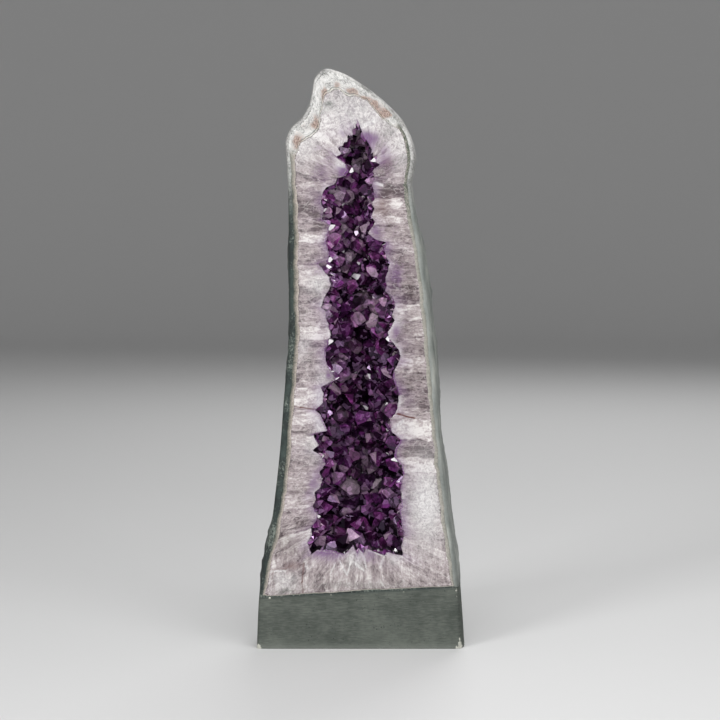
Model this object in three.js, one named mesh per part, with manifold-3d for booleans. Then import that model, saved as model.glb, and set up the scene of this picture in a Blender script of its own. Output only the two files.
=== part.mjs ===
// A tall amethyst geode, sawn open lengthwise and standing on a cement foot.
// Millimetres, +Z up, the sawn face towards -Y. The origin is the centre of the foot's underside.
//
// Every layer of the rock is a cup: a loop drawn on the sawn face (its rim), carried back into the
// rock until it closes on an upright line, the spine. Nested rims and falling depths make nested
// layers: basalt rind, agate band, pale quartz, and the amethyst bed that the crystals grow from.
import * as THREE from "three";
import { ConvexGeometry } from "three/addons/geometries/ConvexGeometry.js";
import { mergeVertices } from "three/addons/utils/BufferGeometryUtils.js";
import Module from "manifold-3d";

const wasm = await Module();
wasm.setup();

// Driving dimensions.
const FOOT_DEPTH = 170; // front to back, where the geode stands
const LEAN = 0.065; // the sawn face falls back by this much for each millimetre of height
const GAP = 0.3; // between neighbouring solids
const FRONT_Y = -FOOT_DEPTH / 2;
const BURIED = -20; // the rock is drawn this far below the floor, then sawn off level
const FLOOR_OF_ROCK = { left: 54, right: 65 }; // the foot's top edge on the sawn face, at the rims
const FLOOR_OF_LAYERS = { left: 56, right: 65 }; // the lowest that the layers inside the rind reach
const LAYER_FOOT = 58; // height of the lowest level that the layers' two sides share
const MOUTH_FOOT = 97; // height of the cavity's floor on the sawn face
const MOUTH_LEVEL_BY = 230; // above this height the layers and the mouth match level for level
const SPINE_TOP = 490;
const CUP_SPINE_FOOT = 150; // where the inner layers' spine ends, above their rounded floors
const SPINE_TO_MOUTH = 0.6; // the spine's place between the rock's middle line (0) and the mouth's (1)
const LEVELS = 15; // places up each side of a rim
const CREST_STEPS = 22;
const FLOOR_STEPS = 6;
const SETTLED_BY = 0.4; // the share of a wall in which the crest's notch fades out
const WALL_SHARES = [0, 0.05, 0.13, 0.25, 0.4, 0.57, 0.75, 0.9, 1]; // rows of facets, rim to spine
const ROUNDNESS = 2.3; // exponent of a cup's section: 2 is an ellipse, more is boxier
const BULGE = { left: 1, right: 7 }; // how far the rock swells behind the sawn face
const BULGE_WITHIN = 12; // and how soon, going back from the face
const BULGE_REACH = 40; // nearer to the spine than this, the swell is less in proportion
const BULGE_LOST = { share: 0.6, from: 400, to: 540 }; // how much of it is gone at the crest
const ROUGH_BACK = { from: 0.1, to: 0.7 }; // the shares of a wall over which the outside turns uneven
const ROUGH_UP_TO = 90; // and the height over which it does, from the floor up
const CUTTER_PROUD = 10; // how far a shape that cuts the face stands out in front of it
const MERGE_WITHIN = 1e-3; // corners nearer than this are one corner

// Height, left edge and right edge of the sawn face, up to where the crest begins.
const ROCK_SIDES = [
  [-20, -109.6, 107.6],
  [0, -108.5, 106.5],
  [60, -105.5, 102.5],
  [98, -100.5, 99.5],
  [132, -93, 94],
  [166, -88.5, 90],
  [208, -84, 85.3],
  [260, -80, 80.6],
  [335, -74, 74.2],
  [412, -74.5, 65.2],
  [463, -75, 57],
  [490, -75.5, 53],
];
// The crest of the sawn face, from its left shoulder over the peak to its right shoulder.
const CREST = [
  [-75.5, 490],
  [-77, 519],
  [-77.5, 537],
  [-72, 549],
  [-62, 558],
  [-54, 571],
  [-49.5, 588],
  [-47, 601],
  [-36, 611],
  [-23, 608.5],
  [5, 593],
  [31, 571],
  [51.5, 542],
  [57.5, 522],
  [53, 490],
];
// The rounder crest that the notched one settles into, behind the sawn face.
const CALM_CREST = [
  [-75.5, 490],
  [-77, 519],
  [-73, 545],
  [-60, 568],
  [-41, 588],
  [-19, 597],
  [7, 590],
  [32, 570],
  [51.5, 543],
  [57.5, 522],
  [53, 490],
];
// Height, left edge and right edge of the amethyst bed's mouth.
const MOUTH_SIDES = [
  [97, -54, 49],
  [125, -50, 50],
  [160, -50, 51],
  [195, -49, 51],
  [225, -50, 49],
  [260, -45, 47],
  [290, -44, 47],
  [325, -40, 44],
  [357, -40, 41],
  [390, -38, 37],
  [420, -39, 33],
  [447, -40, 26],
  [490, -38, 21],
];
const MOUTH_CREST = [
  [-38, 490],
  [-30, 517],
  [-20, 540],
  [-3, 560],
  [13, 547],
  [21, 522],
  [21, 490],
];
// Height and depth behind the sawn face, along the spine.
const ROCK_DEPTH = [
  [-20, 170],
  [60, 166],
  [150, 157],
  [300, 138],
  [490, 110],
];
const MOUTH_DEPTH = [
  [150, 92],
  [300, 72],
  [490, 48],
];
// Layer thicknesses, measured from the rock's edge on the sawn face.
const RIND = { left: 6, right: 3, crest: 5, floor: 1.5, back: 18 };
const AGATE = { left: 3, right: 4, crest: 14, floor: 3, back: 4 };
const BED = 8; // from the pale quartz to the roots of the amethyst points

// A smooth curve through rows of [x, y, ...], read at x; column says which value.
function smooth(rows, column = 1) {
  const slope = (i) => {
    const a = rows[Math.max(i - 1, 0)];
    const b = rows[Math.min(i + 1, rows.length - 1)];
    return (b[column] - a[column]) / (b[0] - a[0]);
  };
  return (x) => {
    const at = THREE.MathUtils.clamp(x, rows[0][0], rows[rows.length - 1][0]);
    let i = rows.findIndex((row) => row[0] >= at);
    i = Math.max(i - 1, 0);
    const span = rows[i + 1][0] - rows[i][0];
    const t = (at - rows[i][0]) / span;
    const [p, q] = [rows[i][column], rows[i + 1][column]];
    const [m, n] = [slope(i) * span, slope(i + 1) * span];
    return (
      p * (2 * t ** 3 - 3 * t ** 2 + 1) +
      m * (t ** 3 - 2 * t ** 2 + t) +
      q * (3 * t ** 2 - 2 * t ** 3) +
      n * (t ** 3 - t ** 2)
    );
  };
}

const mix = THREE.MathUtils.lerp;
const rockLeft = smooth(ROCK_SIDES, 1);
const rockRight = smooth(ROCK_SIDES, 2);
const mouthLeft = smooth(MOUTH_SIDES, 1);
const mouthRight = smooth(MOUTH_SIDES, 2);
const rockDepth = smooth(ROCK_DEPTH);
const mouthDepth = smooth(MOUTH_DEPTH);
const rockMiddle = (z) => (rockLeft(z) + rockRight(z)) / 2;
const mouthMiddle = (z) => (mouthLeft(z) + mouthRight(z)) / 2;
const spineX = (z) => mix(rockMiddle(z), mouthMiddle(z), SPINE_TO_MOUTH);
const frontY = (z) => FRONT_Y + LEAN * z;

// The points of a rim: up the left side, over the crest, down the right side, back along the floor.
// Each point knows its spine height and its place on the rim, so that two rims match point by point.
// level gives a side point's own height from the height that it shares with the other rims.
function rim({ sides, crest, calmCrest, floor, foot, spineFoot, level = (z) => z }) {
  const [left, right] = sides;
  const heights = Array.from({ length: LEVELS }, (_, i) => mix(foot, SPINE_TOP, i / LEVELS));
  const side = (edge, where) => (z) => {
    const at = level(z);
    return { x: edge(at), z: at, spine: Math.max(z, spineFoot), where };
  };
  const along = (points) =>
    new THREE.SplineCurve(points.map(([x, z]) => new THREE.Vector2(x, z)))
      .getSpacedPoints(CREST_STEPS)
      .map((p) => ({ x: p.x, z: p.y }));
  const calm = along(calmCrest);
  const top = along(crest).map((p, i) => ({ ...p, calm: calm[i], spine: SPINE_TOP, where: "crest" }));
  const bottom = Array.from({ length: FLOOR_STEPS }, (_, i) => {
    const [x, z] = [0, 1].map((k) => mix(floor[1][k], floor[0][k], i / FLOOR_STEPS));
    return { x, z, spine: spineFoot, where: "floor" };
  });
  const loop = [
    ...heights.map(side(left, "left")),
    ...top,
    ...heights.reverse().map(side(right, "right")).slice(0, -1),
    ...bottom,
  ];
  return loop.map((p) => ({ calm: { x: p.x, z: p.z }, ...p }));
}

// Low swells of the weathered outside, in millimetres, as a sum of long waves.
const swell = (x, z) =>
  2.4 * Math.sin(0.031 * z + 0.021 * x + 1.3) +
  1.9 * Math.sin(0.058 * z - 0.047 * x + 0.4) +
  1.3 * Math.sin(0.093 * x + 0.026 * z + 2.1);

// A point of a cup: share 0 is on the rim and 1 on the spine. Across, it follows a superellipse.
function cupPoint(p, share, depth, { bulge, rough = 0 } = {}) {
  const angle = (share * Math.PI) / 2;
  const across = Math.max(Math.cos(angle), 0) ** (2 / ROUNDNESS);
  const back = Math.sin(angle) ** (2 / ROUNDNESS);
  const settle = THREE.MathUtils.smoothstep(share, 0, SETTLED_BY);
  const edgeX = mix(p.x, p.calm.x, settle);
  const edgeZ = mix(p.z, p.calm.z, settle);
  const sx = spineX(p.spine);
  const z = p.spine + (edgeZ - p.spine) * across;
  let x = sx + (edgeX - sx) * across;
  let y = depth * back;
  if (bulge) {
    const lost = BULGE_LOST.share * THREE.MathUtils.smoothstep(edgeZ, BULGE_LOST.from, BULGE_LOST.to);
    const most = (edgeX > sx ? bulge.right : bulge.left) * (1 - lost);
    const reach = THREE.MathUtils.clamp(Math.abs(edgeX - sx) / BULGE_REACH, 0, 1);
    x += Math.sign(edgeX - sx) * most * reach * across * (1 - Math.exp(-y / BULGE_WITHIN));
  }
  if (rough) {
    const behind = THREE.MathUtils.smoothstep(share, ROUGH_BACK.from, ROUGH_BACK.to);
    const above = THREE.MathUtils.smoothstep(z, 0, ROUGH_UP_TO);
    y += rough * behind * above * swell(x, z);
  }
  return [x, frontY(z) + y, z];
}

// A mesh from its points and from the triangles' corners, three numbers to each triangle.
function meshGeometry(points, triangles) {
  const geometry = new THREE.BufferGeometry();
  geometry.setAttribute("position", new THREE.Float32BufferAttribute(points.flat(), 3));
  geometry.setIndex(triangles);
  return geometry;
}

// The triangles between two rows of a loop. A flipped strip faces the other way.
function strip(from, to, count, flipped) {
  const triangles = [];
  for (let i = 0; i < count; i++) {
    const j = (i + 1) % count;
    const quad = [from + i, from + j, to + j, from + i, to + j, to + i];
    triangles.push(...(flipped ? quad.reverse() : quad));
  }
  return triangles;
}

// The rows of points of a cup, rim first; forward adds one in front of the face.
function cupRows(loop, depthAt, options, forward) {
  const rows = [];
  if (forward) rows.push(loop.map((p) => [p.x, frontY(p.z) - forward, p.z]));
  for (const share of WALL_SHARES) {
    rows.push(loop.map((p) => cupPoint(p, share, depthAt(p.spine), options)));
  }
  return rows;
}

// A solid cup, closed by its sawn face. forward carries the face out in front, for cutting.
function cupSolid(loop, depthAt, options = {}, forward = 0) {
  const rows = cupRows(loop, depthAt, options, forward);
  const n = loop.length;
  const middle = loop.map((p) => [spineX(p.spine), frontY(p.spine) - forward, p.spine]);
  const points = [...rows.flat(), ...middle];
  const triangles = rows.slice(1).flatMap((_, k) => strip(k * n, (k + 1) * n, n, false));
  triangles.push(...strip(0, rows.length * n, n, true));
  return solidOf(meshGeometry(points, triangles));
}

// The solid between an outer and an inner cup, with a flat rim on the sawn face.
function shellSolid(outer, outerDepth, inner, innerDepth, innerOptions = {}) {
  const n = outer.length;
  const outerRows = cupRows(outer, outerDepth, {}, 0);
  const innerRows = cupRows(inner, innerDepth, innerOptions, 0);
  const points = [...outerRows.flat(), ...innerRows.flat()];
  const start = outerRows.length * n;
  const triangles = outerRows.slice(1).flatMap((_, k) => strip(k * n, (k + 1) * n, n, false));
  triangles.push(
    ...innerRows.slice(1).flatMap((_, k) => strip(start + k * n, start + (k + 1) * n, n, true)),
    ...strip(0, start, n, true),
  );
  return solidOf(meshGeometry(points, triangles));
}

// A mesh as a manifold-3d solid, with its shared vertices merged and flat triangles dropped.
function solidOf(geometry) {
  const bare = new THREE.BufferGeometry();
  bare.setAttribute("position", geometry.getAttribute("position"));
  bare.setIndex(geometry.index);
  const merged = mergeVertices(bare, MERGE_WITHIN);
  const index = merged.index.array;
  const kept = [];
  for (let i = 0; i < index.length; i += 3) {
    const [a, b, c] = [index[i], index[i + 1], index[i + 2]];
    if (a !== b && b !== c && a !== c) kept.push(a, b, c);
  }
  return new wasm.Manifold(
    new wasm.Mesh({
      numProp: 3,
      vertProperties: merged.attributes.position.array,
      triVerts: new Uint32Array(kept),
    }),
  );
}

function geometryOf(solid) {
  const mesh = solid.getMesh();
  const points = [];
  for (let i = 0; i < mesh.numVert; i++) {
    const at = i * mesh.numProp;
    points.push([...mesh.vertProperties.subarray(at, at + 3)]);
  }
  return meshGeometry(points, [...mesh.triVerts]);
}

// A rim moved from one loop towards its match on another, by so many millimetres.
function inset(loop, towards, amount) {
  const move = (from, to, by) => {
    const share = by / Math.hypot(to.x - from.x, to.z - from.z);
    return { x: mix(from.x, to.x, share), z: mix(from.z, to.z, share) };
  };
  return loop.map((p, i) => {
    const q = towards[i];
    return { ...p, ...move(p, q, amount(p)), calm: move(p.calm, q.calm, amount(p)) };
  });
}

// The rock as a whole, down past the floor, and the two rims that the layers lie between.
const wholeRim = rim({
  sides: [rockLeft, rockRight],
  crest: CREST,
  calmCrest: CALM_CREST,
  floor: [
    [rockLeft(BURIED), BURIED],
    [rockRight(BURIED), BURIED],
  ],
  foot: BURIED,
  spineFoot: BURIED,
});
const layerRim = rim({
  sides: [rockLeft, rockRight],
  crest: CREST,
  calmCrest: CALM_CREST,
  floor: [
    [rockLeft(LAYER_FOOT), FLOOR_OF_LAYERS.left],
    [rockRight(LAYER_FOOT), FLOOR_OF_LAYERS.right],
  ],
  foot: LAYER_FOOT,
  spineFoot: CUP_SPINE_FOOT,
});
const mouthRim = rim({
  sides: [mouthLeft, mouthRight],
  crest: MOUTH_CREST,
  calmCrest: MOUTH_CREST,
  floor: [
    [mouthLeft(MOUTH_FOOT), MOUTH_FOOT],
    [mouthRight(MOUTH_FOOT), MOUTH_FOOT],
  ],
  foot: LAYER_FOOT,
  spineFoot: CUP_SPINE_FOOT,
  level: (z) =>
    z > MOUTH_LEVEL_BY
      ? z
      : mix(MOUTH_FOOT, MOUTH_LEVEL_BY, (z - LAYER_FOOT) / (MOUTH_LEVEL_BY - LAYER_FOOT)),
});

// Rims and depths of the layers, from the outside in. out and back grow a cup, for the gaps.
const agateRim = (out = 0) => inset(layerRim, mouthRim, (p) => RIND[p.where] - out);
const quartzRim = (out = 0) => inset(layerRim, mouthRim, (p) => RIND[p.where] + AGATE[p.where] - out);
const bedRim = (out = 0) => inset(mouthRim, layerRim, () => BED + out);
const agateDepth = (back) => (z) => rockDepth(z) - RIND.back + back;
const quartzDepth = (back) => (z) => rockDepth(z) - RIND.back - AGATE.back + back;
const bedDepth = (back) => (z) => mouthDepth(z) + BED + back;

// Half-spaces as big boxes: everything above the foot's sloping top, moved up by lift, and the ground.
const BIG = 1000;
function boxSolid(width, depth, height, matrix) {
  return solidOf(new THREE.BoxGeometry(width, depth, height).applyMatrix4(matrix));
}
function aboveFoot(lift) {
  const slope = Math.atan2(
    FLOOR_OF_ROCK.right - FLOOR_OF_ROCK.left,
    rockRight(LAYER_FOOT) - rockLeft(LAYER_FOOT),
  );
  const middle = (FLOOR_OF_ROCK.left + FLOOR_OF_ROCK.right) / 2 + lift;
  const matrix = new THREE.Matrix4()
    .makeTranslation(0, 0, middle)
    .multiply(new THREE.Matrix4().makeRotationY(-slope))
    .multiply(new THREE.Matrix4().makeTranslation(0, 0, BIG / 2));
  return boxSolid(BIG, BIG, BIG, matrix);
}

// Numbers from 0 to 1 that look random and come out the same each time.
function makeRandom(seed) {
  let state = seed;
  return () => {
    state = (state * 1664525 + 1013904223) % 4294967296;
    return state / 4294967296;
  };
}

// A quartz point's proportions.
const TIP_SLOPE = 1.27; // rise over run of a tip's faces, which stand 52 degrees from level
const LOWEST_SHOULDER = 0.25; // share of the length that is prism at the least
const ROOT_TAPER = 0.94; // the root's width, as a share of the prism's
const POINT_LENGTHS = [1.5, 1.9]; // as a multiple of the radius
const TIP_SKEW = 0.3; // the most that a tip lies off the axis, as a share of the radius
const SHOULDERS = [0.72, 1]; // how unevenly high the prism's corners end

// A quartz point on +Z: a six-sided prism from -sunk, with six sloping faces that meet at a tip.
// grow swells it on every side, for the socket that it stands in.
function pointGeometry({ radius, length, sunk, skew, shoulders }, grow = 0) {
  const corners = (r, height) =>
    Array.from({ length: 6 }, (_, k) => {
      const turn = (k * Math.PI) / 3;
      return new THREE.Vector3(r * Math.cos(turn), r * Math.sin(turn), height(k));
    });
  const full = radius + grow;
  const shoulder = Math.max(length - radius * TIP_SLOPE, LOWEST_SHOULDER * length);
  return new ConvexGeometry([
    ...corners(ROOT_TAPER * full, () => -sunk - grow),
    ...corners(full, (k) => shoulder * shoulders[k] + grow),
    new THREE.Vector3(skew[0] * radius, skew[1] * radius, length + grow),
  ]);
}

// The matrix that stands a point on a place of the mouth's wall: along the rim, and share deep.
function standOn(along, share, tilt) {
  const n = mouthRim.length;
  const at = (a, s) => {
    const i = Math.floor(a);
    const low = mouthRim[((i % n) + n) % n];
    const high = mouthRim[(((i + 1) % n) + n) % n];
    const p = Object.fromEntries(["x", "z", "spine"].map((k) => [k, mix(low[k], high[k], a - i)]));
    return new THREE.Vector3(...cupPoint({ ...p, calm: p }, s, mouthDepth(p.spine)));
  };
  const step = 0.02;
  const here = at(along, share);
  const side = at(along + step, share).sub(at(along - step, share));
  const down = at(along, Math.min(share + step, 0.99)).sub(at(along, share - step));
  const out = side.cross(down).normalize().negate();
  out.add(new THREE.Vector3(...tilt)).normalize();
  const turn = new THREE.Quaternion().setFromUnitVectors(new THREE.Vector3(0, 0, 1), out);
  return new THREE.Matrix4().compose(here, turn, new THREE.Vector3(1, 1, 1));
}

// Materials.
const stone = (colour, roughness, more = {}) =>
  new THREE.MeshStandardMaterial({ color: colour, roughness, metalness: 0, ...more });
const cement = stone("#5e635d", 0.8);
const basalt = stone("#5b635c", 0.7);
const agate = stone("#cfc6b8", 0.25);
const paleQuartz = stone("#c3b8bd", 0.2);
const amethyst = stone("#4a2a5c", 0.12);
const clearQuartz = stone("#d6cfd6", 0.1);

const geode = new THREE.Group();
function add(name, solid, material) {
  const mesh = new THREE.Mesh(geometryOf(solid), material);
  mesh.name = name;
  geode.add(mesh);
}

// The foot and the rind are one outline, parted along the foot's sloping top.
const outside = { bulge: BULGE, rough: 1 };
const whole = cupSolid(wholeRim, rockDepth, outside);
const rounded = cupSolid(agateRim(GAP), agateDepth(GAP), {}, CUTTER_PROUD);
const ground = boxSolid(BIG, BIG, BIG, new THREE.Matrix4().makeTranslation(0, 0, -BIG / 2));
const foot = whole.subtract(aboveFoot(-GAP / 2)).subtract(ground).subtract(rounded);
const rind = whole.intersect(aboveFoot(GAP / 2)).subtract(rounded);
add("cement_foot", foot, cement);
add("basalt_rind", rind, basalt);
add(
  "agate_band",
  shellSolid(agateRim(), agateDepth(0), quartzRim(GAP), quartzDepth(GAP)),
  agate,
);
add(
  "quartz_wall",
  shellSolid(quartzRim(), quartzDepth(0), bedRim(GAP), bedDepth(GAP)),
  paleQuartz,
);

// The amethyst points: staggered rows up the mouth, each point leaning a little its own way.
const random = makeRandom(17);
const spread = (low, high) => mix(low, high, random());
const ROOT_ROOM = 1.5; // what is left of the bed under the deepest roots
const SUNK = 4; // how far a point's root goes below the mouth's wall
const room = cupSolid(bedRim(-ROOT_ROOM), bedDepth(-ROOT_ROOM));
const socketRoom = cupSolid(bedRim(GAP - ROOT_ROOM), bedDepth(GAP - ROOT_ROOM), {}, CUTTER_PROUD);
const standing = [];
// One more point, unless its socket would cut into a point that already stands.
function grow(along, share, size) {
  const shape = {
    radius: size,
    length: size * spread(...POINT_LENGTHS),
    sunk: SUNK,
    skew: [spread(-TIP_SKEW, TIP_SKEW), spread(-TIP_SKEW, TIP_SKEW)],
    shoulders: Array.from({ length: 6 }, () => spread(...SHOULDERS)),
  };
  const tilt = [spread(-0.25, 0.25), spread(-0.2, 0.2), spread(-0.25, 0.25)];
  const matrix = standOn(along, share, tilt);
  const solid = solidOf(pointGeometry(shape).applyMatrix4(matrix)).intersect(room);
  const socket = solidOf(pointGeometry(shape, GAP).applyMatrix4(matrix)).intersect(socketRoom);
  const free = standing.every((other) => other.socket.intersect(solid).volume() === 0);
  if (free) standing.push({ solid, socket });
}
// Places along the mouth's rim are counted in its own points, from the foot of its left side.
const FLOOR_START = LEVELS * 2 + CREST_STEPS;
const LEFT_START = 1.2;
const RIGHT_END = FLOOR_START - 1.2;
const ROWS = 16;
const RISE = LEVELS + 4.5; // how far up each side, and over the crest, the rows go
const SHARES = [0.2, 0.5, 0.84]; // how deep in the cup each column of points stands
const MIDDLE_SHIFT = 0.45; // the middle column stands this much higher
const SIZES = { foot: 11, crest: 7 }; // radius
for (let row = 0; row < ROWS; row++) {
  const rise = (row / ROWS) * RISE;
  const size = mix(SIZES.foot, SIZES.crest, row / ROWS);
  SHARES.forEach((share, k) => {
    const shift = k % 2 ? MIDDLE_SHIFT : 0;
    const places = [LEFT_START + rise + shift, RIGHT_END - rise - shift];
    places.forEach((along, hand) => {
      if ((row + k + hand) % 2) grow(along, share + spread(-0.05, 0.05), size * spread(0.8, 1.15));
    });
  });
}
// Points on the cavity's floor: place along the rim, and how deep in the cup.
const FLOOR_POINT_SIZE = 9;
const FLOOR_POINTS = [
  [1.3, 0.52],
  [3.0, 0.48],
  [4.7, 0.52],
  [2.2, 0.78],
  [4.0, 0.8],
];
FLOOR_POINTS.forEach(([along, share]) => grow(FLOOR_START + along, share, FLOOR_POINT_SIZE));
const amethystCount = standing.length;
// The clear points that stand in a short row on the mouth's floor, near the sawn face: place along
// the rim, and radius.
const CLEAR_SHARE = 0.14;
const CLEAR = [
  [0.9, 6.5],
  [1.9, 7],
  [2.95, 8.5],
  [4.0, 7],
  [5.0, 6.5],
];
CLEAR.forEach(([along, size]) => grow(FLOOR_START + along, CLEAR_SHARE, size));

let bed = shellSolid(bedRim(), bedDepth(0), mouthRim, mouthDepth);
standing.forEach(({ socket }) => {
  bed = bed.subtract(socket);
});
add("amethyst_bed", bed, amethyst);
standing.forEach(({ solid }, i) => {
  const number = (n) => String(n).padStart(2, "0");
  if (i < amethystCount) add(`amethyst_point_${number(i + 1)}`, solid, amethyst);
  else add(`clear_point_${number(i - amethystCount + 1)}`, solid, clearQuartz);
});

export default geode;
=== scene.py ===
"""The looks of a tall amethyst geode, sawn open, polished and set in a cement foot.

Every surface is worked out as whole arrays, in millimetres, and turned to metres when its mesh is made.
"""

import itertools

import bmesh
import bpy
import numpy as np
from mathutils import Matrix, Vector


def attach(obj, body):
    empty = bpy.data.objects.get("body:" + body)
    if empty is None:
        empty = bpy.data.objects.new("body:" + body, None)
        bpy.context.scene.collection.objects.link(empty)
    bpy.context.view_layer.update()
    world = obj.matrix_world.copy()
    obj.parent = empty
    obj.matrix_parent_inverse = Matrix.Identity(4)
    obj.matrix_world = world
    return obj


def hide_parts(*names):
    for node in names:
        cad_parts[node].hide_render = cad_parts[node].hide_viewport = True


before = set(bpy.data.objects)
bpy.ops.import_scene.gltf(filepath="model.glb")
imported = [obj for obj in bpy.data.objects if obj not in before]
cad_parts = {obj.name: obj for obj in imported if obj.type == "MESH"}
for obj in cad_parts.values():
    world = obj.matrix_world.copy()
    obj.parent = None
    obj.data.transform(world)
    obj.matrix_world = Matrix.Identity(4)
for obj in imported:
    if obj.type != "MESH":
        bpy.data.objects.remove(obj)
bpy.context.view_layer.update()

MM = 0.001
ROOT = "root"
AMETHYST_NODES = [n for n in sorted(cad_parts) if n.startswith("amethyst_point")]
CLEAR_NODES = [n for n in sorted(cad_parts) if n.startswith("clear_point")]

# Driving sizes, in millimetres. The sawn face leans back and looks along -Y.
FOOT_DEPTH = 170
FRONT_Y = -FOOT_DEPTH / 2
LEAN = 0.065  # the face falls back by this much for each millimetre of height
SPINE_TOP = 490
CUP_SPINE_FOOT = 150
ROUNDNESS = 2.3  # exponent of the rock's section
SPINE_TO_MOUTH = 0.6  # the spine's place between the rock's middle line (0) and the mouth's (1)
RIND_BACK, AGATE_BACK, BED = 18, 4, 8  # how thick these layers are behind the cavity
JOINT_LEFT, JOINT_RIGHT = 54, 65  # height of the foot's top at the face's two edges
MOUTH_FOOT = 97
SPREAD_TOP = 175  # below this the mouth's levels are squeezed towards its foot
RIM_ROUND = 3.5  # radius of the rubbed edge round the face
BULGE_LEFT, BULGE_RIGHT, BULGE_WITHIN = 1, 7, 12
BULGE_LOST = 0.6  # share of the bulge that is gone at the crest

# Height, left edge and right edge of the sawn face, and of the cavity's mouth on it.
ROCK_SIDES = [
    (-20, -109.6, 107.6),
    (0, -108.5, 106.5),
    (60, -105.5, 102.5),
    (98, -100.5, 99.5),
    (132, -93, 94),
    (166, -88.5, 90),
    (208, -84, 85.3),
    (260, -80, 80.6),
    (335, -74, 74.2),
    (412, -74.5, 65.2),
    (463, -75, 57),
    (490, -75.5, 53),
]
MOUTH_SIDES = [
    (97, -54, 49),
    (125, -50, 50),
    (160, -50, 51),
    (195, -49, 51),
    (225, -50, 49),
    (260, -45, 47),
    (290, -44, 47),
    (325, -40, 44),
    (357, -40, 41),
    (390, -38, 37),
    (420, -39, 33),
    (447, -40, 26),
    (490, -38, 21),
]
# Left shoulder, notch, peak and right shoulder of the face, and the calmer crest behind it.
CREST = [
    (-75.5, 490), (-77, 519), (-77.5, 537), (-72, 549), (-62, 558), (-54, 571), (-49.5, 588),
    (-47, 601), (-36, 611), (-23, 608.5), (5, 593), (31, 571), (51.5, 542), (57.5, 522),
    (53, 490),
]
CALM_CREST = [
    (-75.5, 490), (-77, 519), (-73, 545), (-60, 568), (-41, 588), (-19, 597), (7, 590), (32, 570),
    (51.5, 543), (57.5, 522), (53, 490),
]
MOUTH_CREST = [(-38, 490), (-30, 517), (-20, 540), (-3, 560), (13, 547), (21, 522), (21, 490)]
# Height and depth behind the face, along the spine where the rock's layers close.
ROCK_DEPTH = [(-20, 170), (60, 166), (150, 157), (300, 138), (490, 110)]
MOUTH_DEPTH = [(150, 92), (300, 72), (490, 48)]


def smooth(rows, at, column=1):
    """A cubic through rows of (place, value, ...): each row's slope is that of its neighbours."""
    rows = np.asarray(rows, float)
    x, y = rows[:, 0], rows[:, column]
    slope = np.gradient(y, x)
    at = np.clip(at, x[0], x[-1])
    i = np.clip(np.searchsorted(x, at) - 1, 0, len(x) - 2)
    span = x[i + 1] - x[i]
    t = (at - x[i]) / span
    start = y[i] * (2 * t**3 - 3 * t**2 + 1) + slope[i] * span * (t**3 - 2 * t**2 + t)
    end = y[i + 1] * (3 * t**2 - 2 * t**3) + slope[i + 1] * span * (t**3 - t**2)
    return start + end


def even_curve(points, steps):
    """Equal steps along the smooth curve through some points, measured along its own length."""
    p = np.asarray(points, float)
    chord = np.r_[0, np.cumsum(np.linalg.norm(np.diff(p, axis=0), axis=1))]
    dense = np.linspace(0, chord[-1], 40 * len(p))
    curve = np.stack([smooth(np.c_[chord, p[:, k]], dense) for k in (0, 1)], axis=1)
    run = np.r_[0, np.cumsum(np.linalg.norm(np.diff(curve, axis=0), axis=1))]
    even = np.linspace(0, run[-1], steps + 1)
    return np.stack([np.interp(even, run, curve[:, k]) for k in (0, 1)], axis=1)


def ease(t, low=0.0, high=1.0):
    """0 below low, 1 above high, and an S-curve between."""
    t = np.clip((t - low) / (high - low), 0, 1)
    return t * t * (3 - 2 * t)


def hashed(cells, seed):
    """A number from 0 to 1 for each whole-number cell, always the same for the same cell."""
    mixed = cells.astype(np.int64) @ np.array([73856093, 19349663, 83492791], np.int64)
    mixed = (mixed + seed * 1013904223) & 0xFFFFFFFF
    for _ in range(2):
        mixed = ((mixed ^ (mixed >> 16)) * 0x45D9F3B) & 0xFFFFFFFF
    return (mixed ^ (mixed >> 16)) / 0xFFFFFFFF


def lumps(points, size, seed, octaves=1):
    """Smooth noise from -1 to 1: random values on a lattice of the given size, blended between."""
    total, gain = 0.0, 1.0
    for octave in range(octaves):
        p = points / (size / 2**octave) + 0.37 * seed
        cell = np.floor(p)
        f = p - cell
        f = f * f * (3 - 2 * f)
        value = 0.0
        for corner in itertools.product((0, 1), repeat=3):
            weight = np.prod(np.where(np.array(corner) == 1, f, 1 - f), axis=-1)
            value = value + weight * hashed(cell + np.array(corner), seed + octave)
        total = total + gain * (2 * value - 1)
        gain *= 0.5
    return total


def spine_x(z):
    """Where the upright line lies, left to right, on which each layer closes behind the face."""
    rock = (smooth(ROCK_SIDES, z, 1) + smooth(ROCK_SIDES, z, 2)) / 2
    mouth = (smooth(MOUTH_SIDES, z, 1) + smooth(MOUTH_SIDES, z, 2)) / 2
    return (1 - SPINE_TO_MOUTH) * rock + SPINE_TO_MOUTH * mouth


def front_y(z):
    return FRONT_Y + LEAN * z


# ---- The two rims: the rock's edge and the cavity's mouth, matched point by point ----

SIDE_STEPS, CREST_STEPS, FLOOR_STEPS = 560, 300, 220


def rim(sides, crest, calm, left_z, right_z, spine_z):
    """A loop on the face: up the left side, over the crest, down the right side, along the floor.

    Rows are x, z, calm x, calm z and spine z."""
    left = np.stack([smooth(sides, left_z, 1), left_z], axis=1)
    right = np.stack([smooth(sides, right_z, 2), right_z], axis=1)[::-1]
    over = even_curve(crest, CREST_STEPS)
    calm_over = even_curve(calm, CREST_STEPS)
    t = np.linspace(0, 1, FLOOR_STEPS + 1)[1:-1, None]
    bottom = right[-1] * (1 - t) + left[0] * t
    top_spine = np.full(CREST_STEPS + 1, SPINE_TOP)
    spine = np.r_[spine_z, top_spine, spine_z[::-1], np.full(FLOOR_STEPS - 1, spine_z[0])]
    loop = np.vstack([left, over, right, bottom])
    settled = np.vstack([left, calm_over, right, bottom])
    return np.c_[loop, settled, spine]


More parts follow.
